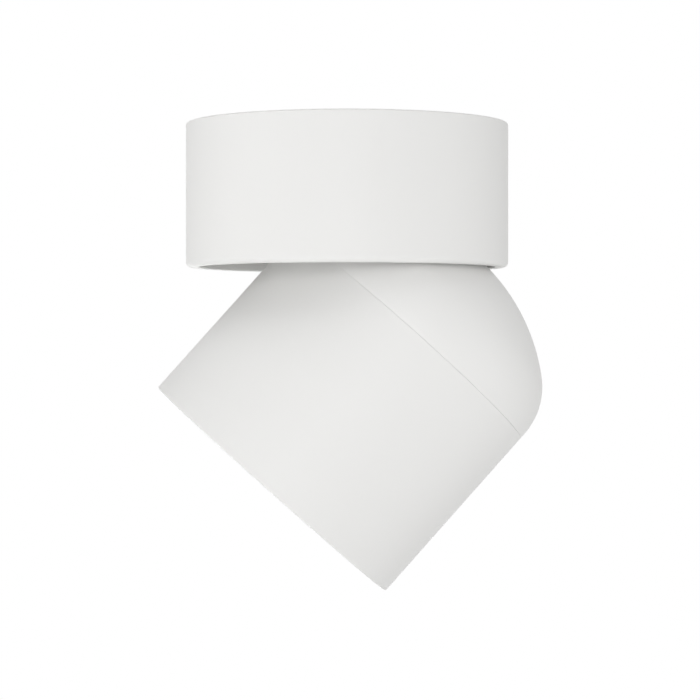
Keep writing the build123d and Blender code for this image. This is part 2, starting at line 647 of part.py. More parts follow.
def driver_components():
    """Transformer, two capacitors and a choke on the board."""
    base = CARRIER_TOP_Z + DRIVER_WALL + DRIVER_BOARD_LIFT + DRIVER_BOARD_THICKNESS
    room = DRIVER_TOP_Z - DRIVER_WALL - base
    top = base + TRANSFORMER_FILL * room
    yoke = YOKE_FILL * room
    core = block(TRANSFORMER_LENGTH, TRANSFORMER_DEPTH, base, top)
    core -= block(
        TRANSFORMER_LENGTH - 2 * TRANSFORMER_LIMB, 2 * TRANSFORMER_DEPTH, base + yoke, top - yoke
    )
    winding = along_y(Cylinder(WINDING_FILL * room, WINDING_LENGTH))
    transformer = core + Pos(0, 0, (base + top) / 2) * winding
    capacitor = Rot(0, 90, 0) * Cylinder(CAPACITOR_FILL * room, CAPACITOR_LENGTH)
    choke = ring(CHOKE_RADIUS, CHOKE_BORE, base, base + CHOKE_FILL * room)
    half = TRANSFORMER_LENGTH / 2 + COMPONENT_GAP
    capacitor_x = TRANSFORMER_X + half + CAPACITOR_LENGTH / 2
    lay = base + CAPACITOR_FILL * room
    parts = [Pos(TRANSFORMER_X, 0, 0) * transformer]
    parts += [Pos(capacitor_x, side * CAPACITOR_PITCH / 2, lay) * capacitor for side in (-1, 1)]
    parts.append(Pos(TRANSFORMER_X - half - CHOKE_RADIUS, 0, 0) * choke)
    return Pos(0, DRIVER_OFFSET, 0) * Compound(children=parts)


def driver_screws():
    """Screws down through the driver's ears into the carrier plate."""
    seat = CARRIER_TOP_Z + 2 * DRIVER_WALL
    one = screw(SMALL_SCREW, 2 * DRIVER_WALL + CARRIER_THICKNESS, seat)
    return Compound(children=[Pos(x, y, 0) * one for x, y in driver_ear_places()])


# ---- Leads inside the canopy ----------------------------------------------------------------
def mains_leads():
    """Two cores from the terminal block to the driver's mains side."""
    face_y = -TERMINAL_OFFSET + TERMINAL_DEPTH / 2
    inside_y = DRIVER_FACE_Y + DRIVER_WALL
    cores = []
    for way, (x, z, radius) in zip(terminal_places()[:2], driver_lead_holes()[1:]):
        points = [
            (way, face_y - TERMINAL_HOLE_DEPTH, terminal_wire_z()),
            (way, face_y + CORE_OUT, terminal_wire_z()),
            (x, DRIVER_FACE_Y - CORE_IN, z),
            (x, inside_y, z),
        ]
        cores.append(lead(points, list(wide_bends(points)), radius))
    return Compound(children=cores)


def earth_tag_place():
    """Where the earth lead is screwed to the carrier plate."""
    return TERMINAL_LENGTH / 2 + 2 * TERMINAL_PITCH, -TERMINAL_DEPTH / 2


def earth_tag_screw():
    """Screw with its tag washer on the carrier plate."""
    x, y = earth_tag_place()
    tag = 2 * CORE_RADIUS
    body = screw(SMALL_SCREW, tag + CARRIER_THICKNESS, CARRIER_TOP_Z + tag)
    body += ring(2 * SMALL_SCREW[0], SMALL_SCREW[0] - SEAT_FIT, CARRIER_TOP_Z, CARRIER_TOP_Z + tag)
    return Pos(x, y, 0) * body


def earth_lead():
    """Core from the terminal block's third way to the carrier plate's earth screw."""
    x, y = earth_tag_place()
    z = CARRIER_TOP_Z + CORE_RADIUS
    face_y = -TERMINAL_OFFSET + TERMINAL_DEPTH / 2
    points = [
        (TERMINAL_PITCH, face_y - TERMINAL_HOLE_DEPTH, terminal_wire_z()),
        (TERMINAL_PITCH, face_y + CORE_OUT, terminal_wire_z()),
        (TERMINAL_PITCH + EARTH_STEP, y, z),
        (x - 2 * SMALL_SCREW[0], y, z),
    ]
    return lead(points, list(wide_bends(points)), CORE_RADIUS)


def lamp_lead_canopy():
    """Lamp lead from the driver to the swivel axis, where it goes down into the tube."""
    points = [
        (0, DRIVER_FACE_Y + DRIVER_WALL, DRIVER_LEAD_Z),
        (0, 0, DRIVER_LEAD_Z),
        (0, 0, LEAD_SWIVEL_SPLIT_Z),
    ]
    return lead(points, [LEAD_BEND])


# ---- Swivel ---------------------------------------------------------------------------------
def swivel_tube():
    """Hollow threaded tube, screwed into the arm's foot, that turns in the carrier plate."""
    return ring(SWIVEL_TUBE_RADIUS, SWIVEL_TUBE_BORE, FOOT_Z, TUBE_TOP_Z)


def swivel_nut():
    """Hexagon nut that sets the swivel's friction."""
    nut = hex_bar(SWIVEL_NUT_FLATS, NUT_Z, NUT_Z + SWIVEL_NUT_HEIGHT)
    cone = turned_outline(
        [
            (0, NUT_Z),
            (SWIVEL_NUT_FLATS * 0.58, NUT_Z),
            (SWIVEL_NUT_FLATS * 0.58, NUT_Z + SWIVEL_NUT_HEIGHT * 0.8),
            (SWIVEL_NUT_FLATS / 2, NUT_Z + SWIVEL_NUT_HEIGHT),
            (0, NUT_Z + SWIVEL_NUT_HEIGHT),
        ]
    )
    return (nut & cone) - disc(SWIVEL_TUBE_RADIUS, NUT_Z, NUT_Z + SWIVEL_NUT_HEIGHT)


def wave_washer():
    """Spring washer under the nut."""
    return ring(WAVE_RADIUS, SWIVEL_TUBE_RADIUS + SEAT_FIT, WAVE_Z, NUT_Z)


def arm_blade_face():
    """Outline of the blade: straight through the dome's slot, then widening to its eye."""
    half = ARM_WIDTH / 2
    start = FOOT_Z - ARM_TAPER_START - PIVOT_Z
    reach = hypot(half, start)
    lean = acos(ARM_EYE_RADIUS / reach) + acos(start / reach)
    touch = (ARM_EYE_RADIUS * sin(lean), ARM_EYE_RADIUS * cos(lean))
    top = FOOT_TOP_Z - FOOT_THICKNESS / 2 - PIVOT_Z
    blade = make_face(
        Polyline(
            (-half, top),
            (half, top),
            (half, start),
            touch,
            (-touch[0], touch[1]),
            (-half, start),
            close=True,
        )
    )
    return blade + Circle(ARM_EYE_RADIUS)


def swivel_arm():
    """Cast arm: a round foot with a stop tab, and a blade down to the tilt pivot."""
    foot = turned_outline(
        [(0, FOOT_Z), (FOOT_RADIUS, FOOT_Z), (FOOT_RADIUS, FOOT_TOP_Z), (0, FOOT_TOP_Z)],
        [0, 0.5, 0.5, 0],
    )
    tab_length = STOP_TAB_REACH - FOOT_RADIUS / 2
    tab = Pos(0, -FOOT_RADIUS / 2 - tab_length / 2, 0) * block(
        STOP_TAB_WIDTH, tab_length, FOOT_Z, FOOT_TOP_Z
    )
    sheet = extrude(Plane.XZ * arm_blade_face(), ARM_THICKNESS)
    blade = Pos(0, ARM_INNER_Y, PIVOT_Z) * sheet
    arm = foot + tab + blade
    root = [
        edge
        for edge in arm.edges().filter_by(Axis.X)
        if abs(edge.center().Z - FOOT_Z) < 0.01 and abs(edge.length - ARM_WIDTH) < 0.01
    ]
    arm = fillet(root, ARM_ROOT_ROUND)
    arm -= disc(SWIVEL_TUBE_RADIUS, FOOT_Z, FOOT_TOP_Z)
    eye = along_y(Cylinder(PIVOT_RADIUS + RUNNING_FIT, 3 * ARM_THICKNESS))
    return arm - Pos(0, (ARM_INNER_Y + ARM_OUTER_Y) / 2, PIVOT_Z) * eye


def lamp_lead_arm():
    """Lamp lead from the swivel tube, down beside the blade, to the tilt axis."""
    drop = LEAD_SWIVEL_SPLIT_Z - PIVOT_Z
    points = [
        (0, 0, LEAD_SWIVEL_SPLIT_Z),
        (0, 0, PIVOT_Z + LEAD_LEAVES_AXIS * drop),
        (0, LEAD_SIDE_Y, PIVOT_Z + LEAD_REACHES_SIDE * drop),
        (0, LEAD_SIDE_Y, PIVOT_Z),
        (0, LEAD_SPLIT_Y, PIVOT_Z),
    ]
    radii = list(wide_bends(points))[:-1] + [LEAD_BEND]
    return lead(points, radii)


# ---- Head: shells ---------------------------------------------------------------------------
def shoulder_arc(radius, start_angle, end_angle):
    """Arc about the shoulder's centre, angles measured from the head's cross direction."""
    def point(angle):
        return (SHOULDER_R + radius * cos(angle), SHOULDER_U + radius * sin(angle))

    return ThreePointArc(point(start_angle), point((start_angle + end_angle) / 2), point(end_angle))


def crown_arc(radius, start_angle):
    """Arc about the pivot, from an angle off the head's cross direction up to the axis."""
    def point(angle):
        return (radius * cos(angle), radius * sin(angle))

    return ThreePointArc(point(start_angle), point((start_angle + pi / 2) / 2), (0, radius))


def dome_skin(inset, wall_radius, low):
    """Solid of the dome's form drawn in by an inset, cut square at a radius and a height."""
    arc_radius = DOME_SHOULDER - inset
    crown = DOME_RADIUS - inset
    turn = acos(SHOULDER_R / (DOME_RADIUS - DOME_SHOULDER))
    begin = acos(min(1.0, (wall_radius - SHOULDER_R) / arc_radius))
    shoulder = shoulder_arc(arc_radius, begin, turn)
    arc_top = crown_arc(crown, turn)
    edges = [Line((0, low), (wall_radius, low)), shoulder, arc_top, Line((0, crown), (0, low))]
    if (shoulder @ 0 - Vector(wall_radius, low)).length > 0.001:
        edges.insert(1, Line((wall_radius, low), shoulder @ 0))
    return turned(*edges)


def arm_slot():
    """Space for the arm: a sector of the tilt's travel, as wide as the arm and its gaps."""
    reach = DOME_RADIUS + SLOT_CUT_PAST
    first = radians(SLOT_CROWN_ANGLE - TILT_LEAST)
    last = radians(-SLOT_SHOULDER_ANGLE - TILT_MOST)
    inner = DOME_RADIUS - DOME_SHOULDER

    def point(radius, angle):
        return (radius * sin(angle), radius * cos(angle))

    middle = (first + last) / 2
    outline = [
        ThreePointArc(point(reach, first), point(reach, middle), point(reach, last)),
        Line(point(reach, last), point(inner, last)),
        ThreePointArc(point(inner, last), point(inner, middle), point(inner, first)),
        Line(point(inner, first), point(reach, first)),
    ]
    slot = extrude(Plane.XZ * make_face(outline), SLOT_HALF, both=True)
    ends = slot.edges().filter_by(GeomType.LINE).filter_by(lambda edge: abs((edge % 0).Y) < 0.01)
    return fillet(ends, SLOT_CORNER)


def rear_dome():
    """White domed shell with the arm's slot, the spigot and three screw bosses."""
    low = SEAM_U + SEAM_GAP / 2
    spigot_low = SEAM_U - SPIGOT_LENGTH
    skin = dome_skin(0.0, HEAD_RADIUS, low) + ring(SPIGOT_RADIUS, SPIGOT_BORE, spigot_low, low + 1)
    hollow = dome_skin(HEAD_WALL, SPIGOT_BORE, spigot_low - 1)
    boss = disc(DOME_BOSS_RADIUS, POST_TOP_U, DOME_RADIUS)
    boss -= disc(SMALL_SCREW[0], POST_TOP_U, POST_TOP_U + 2 * SCREW_GRIP)
    within = dome_skin(HEAD_WALL / 2, SPIGOT_BORE + SPIGOT_WALL / 2, POST_TOP_U - 1)
    dome = skin - hollow
    for x, y in around(POST_COUNT, POST_CIRCLE, 90):
        dome += (Pos(x, y, 0) * boss) & within
    return dome - arm_slot()


def head_barrel():
    """White turned barrel, open at both ends."""
    top = SEAM_U - SEAM_GAP / 2
    return turned_outline(
        [
            (HEAD_RADIUS, FRONT_U),
            (HEAD_RADIUS, top),
            (HEAD_INNER, top),
            (HEAD_INNER, FRONT_U),
        ],
        [FRONT_EDGE_ROUND, 0, 0, 0],
    )


def glass_seat():
    """Ring pressed into the barrel that the glass rests against."""
    seat = ring(HEAD_INNER - SEAT_FIT, LEDGE_BORE, GLASS_REAR_U, GLASS_REAR_U + LEDGE_THICKNESS)
    return chamfer(seat.edges().filter_by(GeomType.CIRCLE).sort_by(Axis.Z)[-2:], LEDGE_CHAMFER)


# ---- Head: heat sink and pivot --------------------------------------------------------------
def fin_places():
    """The y of each fin: from the arm's channel out to the plate's edge, on both sides."""
    widest = SPIGOT_BORE - FIN_CLEARANCE - 2 * FIN_THICKNESS
    count = ceil((widest - CHANNEL_HALF) / FIN_PITCH)
    offsets = [CHANNEL_HALF + FIN_THICKNESS / 2 + index * FIN_PITCH for index in range(count)]
    return [side * offset for offset in offsets for side in (-1, 1)]


def heat_sink():
    """Cast plate with upright fins under the dome, three screw posts and the arm's channel."""
    plate = disc(SINK_RADIUS, SINK_FRONT_U, SINK_REAR_U)
    plate = chamfer(plate.edges().filter_by(GeomType.CIRCLE), 0.5)
    reach = 2 * HEAD_RADIUS
    fins = [
        Pos(0, y, 0) * block(reach, FIN_THICKNESS, SINK_REAR_U, DOME_RADIUS) for y in fin_places()
    ]
    room = dome_skin(HEAD_WALL + FIN_CLEARANCE, SPIGOT_BORE - FIN_CLEARANCE, SINK_REAR_U - 1)
    for x, y in around(POST_COUNT, POST_CIRCLE, 90):
        room -= Pos(x, y, 0) * disc(DOME_BOSS_RADIUS + FIN_CLEARANCE, POST_TOP_U, DOME_RADIUS)
    notch = Pos(0, CHANNEL_HALF, 0) * block(
        2 * LEAD_NOTCH_HALF, 2 * LEAD_NOTCH_HALF, SINK_REAR_U, SINK_REAR_U + LEAD_NOTCH_HEIGHT
    )
    sink = plate
    for fin in fins:
        sink += (fin & room) - notch
    for x, y in around(POST_COUNT, POST_CIRCLE, 90):
        sink += Pos(x, y, 0) * disc(POST_RADIUS, SINK_REAR_U - 1, POST_TOP_U)
    for x, y in around(POST_COUNT, POST_CIRCLE, 90):
        counterbore = disc(POST_COUNTERBORE, SINK_FRONT_U, POST_TOP_U - POST_SCREW_SEAT)
        sink -= Pos(x, y, 0) * (counterbore + disc(SMALL_SCREW[0], SINK_REAR_U, POST_TOP_U))
    for x in lug_screw_places():
        hole = disc(SMALL_SCREW[0], SINK_FRONT_U, SINK_REAR_U)
        sink -= Pos(x, (LUG_Y + LUG_FAR_Y) / 2, 0) * hole
    for x, y in around(2, HOLDER_SCREW_CIRCLE, HOLDER_SCREW_ANGLE):
        sink -= Pos(x, y, 0) * disc(SMALL_SCREW[0], SINK_FRONT_U, SINK_REAR_U)
    return sink - Pos(0, LEAD_DROP_Y, 0) * disc(2 * LEAD_RADIUS, SINK_FRONT_U, SINK_REAR_U)


def dome_screws():
    """Screws sunk in the heat sink's posts that hold the dome."""
    one = screw(SMALL_SCREW, POST_SCREW_SEAT + SCREW_GRIP, POST_TOP_U - POST_SCREW_SEAT, up=False)
    places = around(POST_COUNT, POST_CIRCLE, 90)
    return Compound(children=[Pos(x, y, 0) * one for x, y in places])


def lug_screw_places():
    """The x of the two screws in the hinge lug's foot."""
    return [-LUG_SCREW_SPACING / 2, LUG_SCREW_SPACING / 2]


def hinge_lug():
    """Steel lug screwed to the heat sink; its eye carries the pivot bolt."""
    top = SINK_REAR_U + LUG_FOOT_THICKNESS
    middle = (LUG_Y + LUG_FAR_Y) / 2
    foot = rounded_bar(LUG_FOOT_LENGTH, LUG_FOOT_WIDTH, LUG_FOOT_ROUND, SINK_REAR_U, top)
    foot = Pos(0, middle, 0) * foot
    for x in lug_screw_places():
        foot -= Pos(x, middle, 0) * disc(SMALL_SCREW[0], SINK_REAR_U, top)
    profile = make_face(
        Polyline(
            (-LUG_EYE_RADIUS, 0),
            (LUG_EYE_RADIUS, 0),
            (LUG_EYE_RADIUS + 1.5, top - 1),
            (-LUG_EYE_RADIUS - 1.5, top - 1),
            close=True,
        )
    ) + Circle(LUG_EYE_RADIUS)
    web = Pos(0, LUG_FAR_Y, 0) * extrude(Plane.XZ * profile, LUG_THICKNESS)
    eye = along_y(Cylinder(PIVOT_RADIUS + SEAT_FIT, 4 * LUG_THICKNESS))
    return foot + web - eye


def hinge_screws():
    """Screws from the lug's foot into the heat sink."""
    seat = SINK_REAR_U + LUG_FOOT_THICKNESS
    one = screw(SMALL_SCREW, LUG_FOOT_THICKNESS + SINK_THICKNESS - 1, seat)
    middle = (LUG_Y + LUG_FAR_Y) / 2
    return Compound(children=[Pos(x, middle, 0) * one for x in lug_screw_places()])


def pivot_bolt():
    """Socket-head bolt on the tilt axis."""
    head = turned_outline(
        [
            (0, -PIVOT_HEAD_HEIGHT),
            (PIVOT_HEAD_RADIUS, -PIVOT_HEAD_HEIGHT),
            (PIVOT_HEAD_RADIUS, 0),
            (0, 0),
        ],
        [0, 0.5, 0, 0],
    )
    head -= hex_bar(2 * PIVOT_HEX, -PIVOT_HEAD_HEIGHT, -PIVOT_HEAD_HEIGHT / 2)
    bolt = head + disc(PIVOT_RADIUS, 0, PIVOT_NUT_END_Y + PIVOT_END - PIVOT_HEAD_Y)
    return Pos(0, PIVOT_HEAD_Y, 0) * along_y(bolt)


def pivot_nut():
    """Lock nut on the pivot bolt."""
    nut = hex_bar(PIVOT_NUT_FLATS, 0, PIVOT_NUT_HEIGHT * 0.7)
    nut += disc(PIVOT_NUT_FLATS * 0.48, 0, PIVOT_NUT_HEIGHT)
    nut -= disc(PIVOT_RADIUS + SEAT_FIT, 0, PIVOT_NUT_HEIGHT)
    return Pos(0, PIVOT_NUT_Y, 0) * along_y(nut)


def friction_washers():
    """Fibre washers on both faces of the arm's eye."""
    washer = along_y(ring(FRICTION_WASHER_RADIUS, PIVOT_RADIUS + SEAT_FIT, 0, FRICTION_WASHER))
    places = (ARM_OUTER_Y - FRICTION_WASHER, ARM_INNER_Y)
    return Compound(children=[Pos(0, y, 0) * washer for y in places])


def pivot_washers():
    """Spring washers under the bolt's head and its nut."""
    washer = along_y(ring(PIVOT_WASHER_RADIUS, PIVOT_RADIUS + SEAT_FIT, 0, PIVOT_WASHER))
    return Compound(children=[Pos(0, y, 0) * washer for y in (PIVOT_HEAD_Y, LUG_FAR_Y)])


def lead_bush():
    """Rubber bush where the lamp lead goes through the heat sink, short of the lead's last bend."""
    outer = 2 * LEAD_RADIUS
    low = SINK_FRONT_U + SINK_THICKNESS / 4
    bush = turned_outline(
        [
            (LEAD_RADIUS + SEAT_FIT, low),
            (outer - SEAT_FIT, low),
            (outer - SEAT_FIT, SINK_REAR_U),
            (outer + LEAD_RADIUS, SINK_REAR_U),
            (outer + LEAD_RADIUS / 2, SINK_REAR_U + 1.2),
            (LEAD_RADIUS + SEAT_FIT, SINK_REAR_U + 1.2),
        ]
    )
    return Pos(0, LEAD_DROP_Y, 0) * bush


def lamp_lead_head():
    """Lamp lead from the tilt axis through the heat sink to the light source's holder."""
    front = SINK_FRONT_U - HOLDER_HEIGHT / 2
    points = [
        (0, LEAD_SPLIT_Y, 0),
        (0, LEAD_DROP_Y, 0),
        (0, LEAD_DROP_Y, front),
        (0, HOLDER_RADIUS, front),
    ]
    return lead(points, [LEAD_BEND, LEAD_TIGHT_BEND])


# ---- Head: light source and front -----------------------------------------------------------
def thermal_pad():
    """Pad between the board and the heat sink."""
    return block(BOARD_SIDE, BOARD_SIDE, BOARD_U, SINK_FRONT_U)


def led_board():
    """Square board of the light source."""
    return block(BOARD_SIDE, BOARD_SIDE, EMITTER_U, BOARD_U)


def led_emitter():
    """Round emitting area."""
    return disc(EMITTER_RADIUS, EMITTER_U - EMITTER_THICKNESS, EMITTER_U)


def led_holder():
    """Plastic ring that clamps the board and takes the lead."""
    body = turned_outline(
        [
            (HOLDER_APERTURE, SINK_FRONT_U),
            (HOLDER_RADIUS, SINK_FRONT_U),
            (HOLDER_RADIUS, HOLDER_FRONT_U),
            (HOLDER_APERTURE + HOLDER_FLARE, HOLDER_FRONT_U),
            (HOLDER_APERTURE, HOLDER_FRONT_U + HOLDER_FLARE),
        ],
        [0, 0, 1.0, 0, 0],
    )
    side = BOARD_SIDE + 2 * HOLDER_POCKET_GAP
    body -= block(side, side, EMITTER_U, SINK_FRONT_U)
    for x, y in around(2, HOLDER_SCREW_CIRCLE, HOLDER_SCREW_ANGLE):
        body -= Pos(x, y, 0) * disc(SMALL_SCREW[0], HOLDER_FRONT_U, SINK_FRONT_U)
        seat = HOLDER_FRONT_U + SMALL_SCREW[2]
        body -= Pos(x, y, 0) * disc(SMALL_SCREW[1] + SEAT_FIT, HOLDER_FRONT_U, seat)
    return body


def holder_screws():
    """Screws that hold the light source's holder, with their heads sunk in it."""
    seat = HOLDER_FRONT_U + SMALL_SCREW[2]
    grip = SINK_FRONT_U - seat + SINK_THICKNESS - 1
    one = screw(SMALL_SCREW, grip, seat, up=False)
    places = around(2, HOLDER_SCREW_CIRCLE, HOLDER_SCREW_ANGLE)
    return Compound(children=[Pos(x, y, 0) * one for x, y in places])


def reflector():
    """Bowl from the holder to the glass, with a rim that the glass holds down."""
    mouth = LEDGE_BORE - REFLECTOR_RIM
    rim = LEDGE_BORE - SEAT_FIT
    rim_u = GLASS_REAR_U + REFLECTOR_WALL
    middle_u = (HOLDER_FRONT_U + GLASS_REAR_U) / 2
    middle = ((REFLECTOR_THROAT + mouth) / 2 + REFLECTOR_BULGE, middle_u)
    inside = ThreePointArc((REFLECTOR_THROAT, HOLDER_FRONT_U), middle, (mouth, GLASS_REAR_U))
    centre = inside.arc_center
    radius = inside.radius + REFLECTOR_WALL

    def outside(u):
        return (centre.X + sqrt(radius**2 - (u - centre.Y) ** 2), u)

    return turned(
        inside,
        Line((mouth, GLASS_REAR_U), (rim, GLASS_REAR_U)),
        Line((rim, GLASS_REAR_U), (rim, rim_u)),
        Line((rim, rim_u), outside(rim_u)),
        ThreePointArc(outside(rim_u), outside(middle_u), outside(HOLDER_FRONT_U)),
        Line(outside(HOLDER_FRONT_U), (REFLECTOR_THROAT, HOLDER_FRONT_U)),
    )


def front_glass():
    """Round glass against its seat."""
    glass = disc(GLASS_RADIUS - SEAT_FIT, GLASS_FRONT_U, GLASS_REAR_U)
    return chamfer(glass.edges().filter_by(GeomType.CIRCLE), 0.3)


def glass_gasket():
    """Silicone ring round the glass's edge, with a flange over its front."""
    lap = GLASS_RADIUS - GASKET_OVERLAP
    return turned_outline(
        [
            (GLASS_RADIUS, GLASS_REAR_U),
            (GASKET_RADIUS, GLASS_REAR_U),
            (GASKET_RADIUS, GASKET_FRONT_U),
            (lap, GASKET_FRONT_U),
            (lap, GLASS_FRONT_U),
            (GLASS_RADIUS, GLASS_FRONT_U),
        ]
    )


def baffle_ring():
    """Black stepped ring between the glass and the bezel."""
    outer = BEZEL_RADIUS - BEZEL_WALL - SEAT_FIT
    depth = (GASKET_FRONT_U - BEZEL_LIP_U) / BAFFLE_STEPS
    width = (BEZEL_BORE - BAFFLE_OPENING) / BAFFLE_STEPS
    points = [(outer, BEZEL_LIP_U), (outer, GASKET_FRONT_U), (BAFFLE_OPENING, GASKET_FRONT_U)]
    for step in range(BAFFLE_STEPS):
        radius = BAFFLE_OPENING + step * width
        low = GASKET_FRONT_U - (step + 1) * depth
        points.append((radius, low))
        points.append((radius + width, low))
    return turned_outline(points)


def front_bezel():
    """White retaining ring, screwed into the barrel's front over the baffle."""
    skirt = BEZEL_RADIUS - BEZEL_WALL
    return turned_outline(
        [
            (BEZEL_BORE, BEZEL_LIP_U),
            (skirt, BEZEL_LIP_U),
            (skirt, GASKET_FRONT_U),
            (BEZEL_RADIUS, GASKET_FRONT_U),
            (BEZEL_RADIUS, BEZEL_FRONT_U),
            (BEZEL_BORE, BEZEL_FRONT_U),
        ],
        [0, 0, 0, 0, 0.3, 0.4],
    )


# ---- Nodes ----------------------------------------------------------------------------------
CANOPY_NODES = (
    mounting_plate,
    locking_tabs,
    cable_grommet,
    terminal_block,
    terminal_screws,
    earth_screw,
    canopy_shell,
    locking_screws,
    carrier_plate,
    carrier_screws,
    stop_pin,
    driver_case,
    driver_lid,
    driver_board,
    driver_components,
    driver_screws,
    mains_leads,
    earth_lead,
    earth_tag_screw,
    lamp_lead_canopy,
    glide_washers,
)
SWIVEL_NODES = (swivel_tube, swivel_nut, wave_washer, swivel_arm, lamp_lead_arm)
HEAD_NODES = (
    rear_dome,
    head_barrel,
    heat_sink,
    hinge_lug,
    hinge_screws,
    pivot_bolt,
    pivot_nut,
    friction_washers,
    pivot_washers,
    dome_screws,
    thermal_pad,
    led_board,
    led_emitter,
    led_holder,
    holder_screws,
    reflector,
    glass_seat,
    front_glass,
    glass_gasket,
    baffle_ring,
    front_bezel,
    lamp_lead_head,
    lead_bush,
)

os.makedirs("parts", exist_ok=True)
for make in CANOPY_NODES + SWIVEL_NODES:
    export_step(make(), f"parts/{make.__name__}.step")
for make in HEAD_NODES:
    export_step(place_head(make()), f"parts/{make.__name__}.step")
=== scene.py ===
"""Looks of a surface mounted ceiling spotlight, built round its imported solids.

Everything is in metres in the frame of the solids: +Z up, the origin on the ceiling plane at the
canopy's axis. The head's own frame has its origin at the tilt pivot and +Z towards its domed rear.
Sizes of pieces are in millimetres until a mesh is made.
"""

import enum
import json
import logging
import math
from dataclasses import dataclass, field
from typing import Callable, Iterable, Sequence

import bmesh
import bpy
import numpy as np
from mathutils import Matrix, Vector


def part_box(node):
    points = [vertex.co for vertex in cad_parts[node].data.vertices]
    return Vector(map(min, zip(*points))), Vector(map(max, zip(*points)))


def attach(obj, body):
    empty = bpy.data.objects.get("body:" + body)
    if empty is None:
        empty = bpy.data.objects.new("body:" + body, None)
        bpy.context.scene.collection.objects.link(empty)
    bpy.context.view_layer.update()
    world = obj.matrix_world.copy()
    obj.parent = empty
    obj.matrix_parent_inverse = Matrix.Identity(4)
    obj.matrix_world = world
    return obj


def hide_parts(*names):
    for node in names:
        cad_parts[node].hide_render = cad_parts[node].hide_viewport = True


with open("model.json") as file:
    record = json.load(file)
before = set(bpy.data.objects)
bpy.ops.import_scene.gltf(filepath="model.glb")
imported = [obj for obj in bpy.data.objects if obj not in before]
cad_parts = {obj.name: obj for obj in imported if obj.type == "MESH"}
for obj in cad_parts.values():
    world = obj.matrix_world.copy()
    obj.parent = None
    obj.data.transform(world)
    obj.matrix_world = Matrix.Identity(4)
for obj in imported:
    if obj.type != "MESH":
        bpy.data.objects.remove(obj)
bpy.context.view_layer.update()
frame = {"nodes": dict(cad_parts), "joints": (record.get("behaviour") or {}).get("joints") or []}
LOG = logging.getLogger("spotlight")

MM = 0.001
Point = tuple[float, float]
Colour = tuple[float, float, float]
Direction = tuple[float, float, float]
WHITE: Colour = (1.0, 1.0, 1.0)
COAT = "white_powder_coat"
TILT_AT_REST = math.radians(41.8)
PIVOT_Z = next(joint["pos_m"][2] for joint in frame["joints"] if joint["name"] == "head_tilt")
HEAD_PLACE = Matrix.Translation((0.0, 0.0, PIVOT_Z)) @ Matrix.Rotation(TILT_AT_REST, 4, "Y")


class Body(enum.Enum):
    """The three bodies that the pieces ride on."""

    CANOPY = "canopy"
    SWIVEL = "swivel"
    HEAD = "head"


class Shading(enum.Enum):
    """How a mesh is shaded: smooth up to an angle between faces in degrees, or flat."""

    SMOOTH = 30.0
    FLAT = 0.0


# ---- Node trees -----------------------------------------------------------------------------
@dataclass
class Value:
    """A socket that carries one number, with the usual operators as Math nodes."""

    nodes: "Nodes"
    socket: bpy.types.NodeSocket

    def _math(self, operation: str, *values: "Value | float") -> "Value":
        """Adds a Math node over the given values."""
        return self.nodes.value("ShaderNodeMath", {"operation": operation}, values)

    def __add__(self, other: "Value | float") -> "Value":
        """Adds two values."""
        return self._math("ADD", self, other)

    def __radd__(self, other: float) -> "Value":
        """Adds a value to a number."""
        return self._math("ADD", other, self)

    def __mul__(self, other: "Value | float") -> "Value":
        """Multiplies two values."""
        return self._math("MULTIPLY", self, other)

    def __rmul__(self, other: float) -> "Value":
        """Multiplies a number by this value."""
        return self._math("MULTIPLY", other, self)

    def above(self, limit: float) -> "Value":
        """Is 1 where this value is above a limit, else 0."""
        return self._math("GREATER_THAN", self, limit)

    def larger(self, other: "Value") -> "Value":
        """The larger of two values."""
        return self._math("MAXIMUM", self, other)

    def sine(self) -> "Value":
        """The sine of this value, in radians."""
        return self._math("SINE", self)

    def turn_with(self, other: "Value") -> "Value":
        """The angle of the direction (other, self)."""
        return self._math("ARCTAN2", self, other)


class Nodes:
    """A node tree under construction. All its nodes come from one method."""

    def __init__(self, tree: bpy.types.NodeTree) -> None:
        """Takes the tree that is built in."""
        self.tree = tree

    def node(self, kind: str, settings: dict, inputs: "Sequence | dict") -> bpy.types.Node:
        """Adds a node, sets its settings first and then its sockets.

        Args:
            kind: the node's type.
            settings: attributes such as a Math node's operation.
            inputs: values, sockets or Value objects, by position or by socket name.

        Returns:
            The new node.
        """
        made = self.tree.nodes.new(kind)
        for key, setting in settings.items():
            setattr(made, key, setting)
        pairs = inputs.items() if isinstance(inputs, dict) else enumerate(inputs)
        for key, given in pairs:
            self.feed(made.inputs[key], given)
        return made

    def feed(self, socket: bpy.types.NodeSocket, given: object) -> None:
        """Links a socket to what is given, or sets it to that number or colour.

        Args:
            socket: the input to feed.
            given: a value, an output socket, a number or a colour.
        """
        if isinstance(given, Value):
            given = given.socket
        if isinstance(given, bpy.types.NodeSocket):
            self.tree.links.new(given, socket)
        elif isinstance(given, tuple) and len(given) == 3 and socket.type == "RGBA":
            socket.default_value = (*given, 1.0)
        else:
            socket.default_value = given

    def value(self, kind: str, settings: dict, inputs: "Sequence | dict", output: object = 0) -> Value:
        """Adds a node and wraps one of its outputs as a Value."""
        return Value(self, self.node(kind, settings, inputs).outputs[output])

    def ramp(self, factor: Value, low: float, high: float) -> Value:
        """Maps 0..1 to a range of numbers."""
        inputs = {"Value": factor, "To Min": low, "To Max": high}
        return self.value("ShaderNodeMapRange", {"clamp": True}, inputs)

    def seen_plainly(self) -> Value:
        """Marks the rays that should find a white background.

        Returns:
            1 for rays from the camera, off a shiny surface or through glass, else 0.
        """
        path = self.node("ShaderNodeLightPath", {}, [])
        kinds = ("Camera", "Glossy", "Transmission")
        camera, glossy, through = (Value(self, path.outputs[f"Is {kind} Ray"]) for kind in kinds)
        return camera.larger(glossy).larger(through)


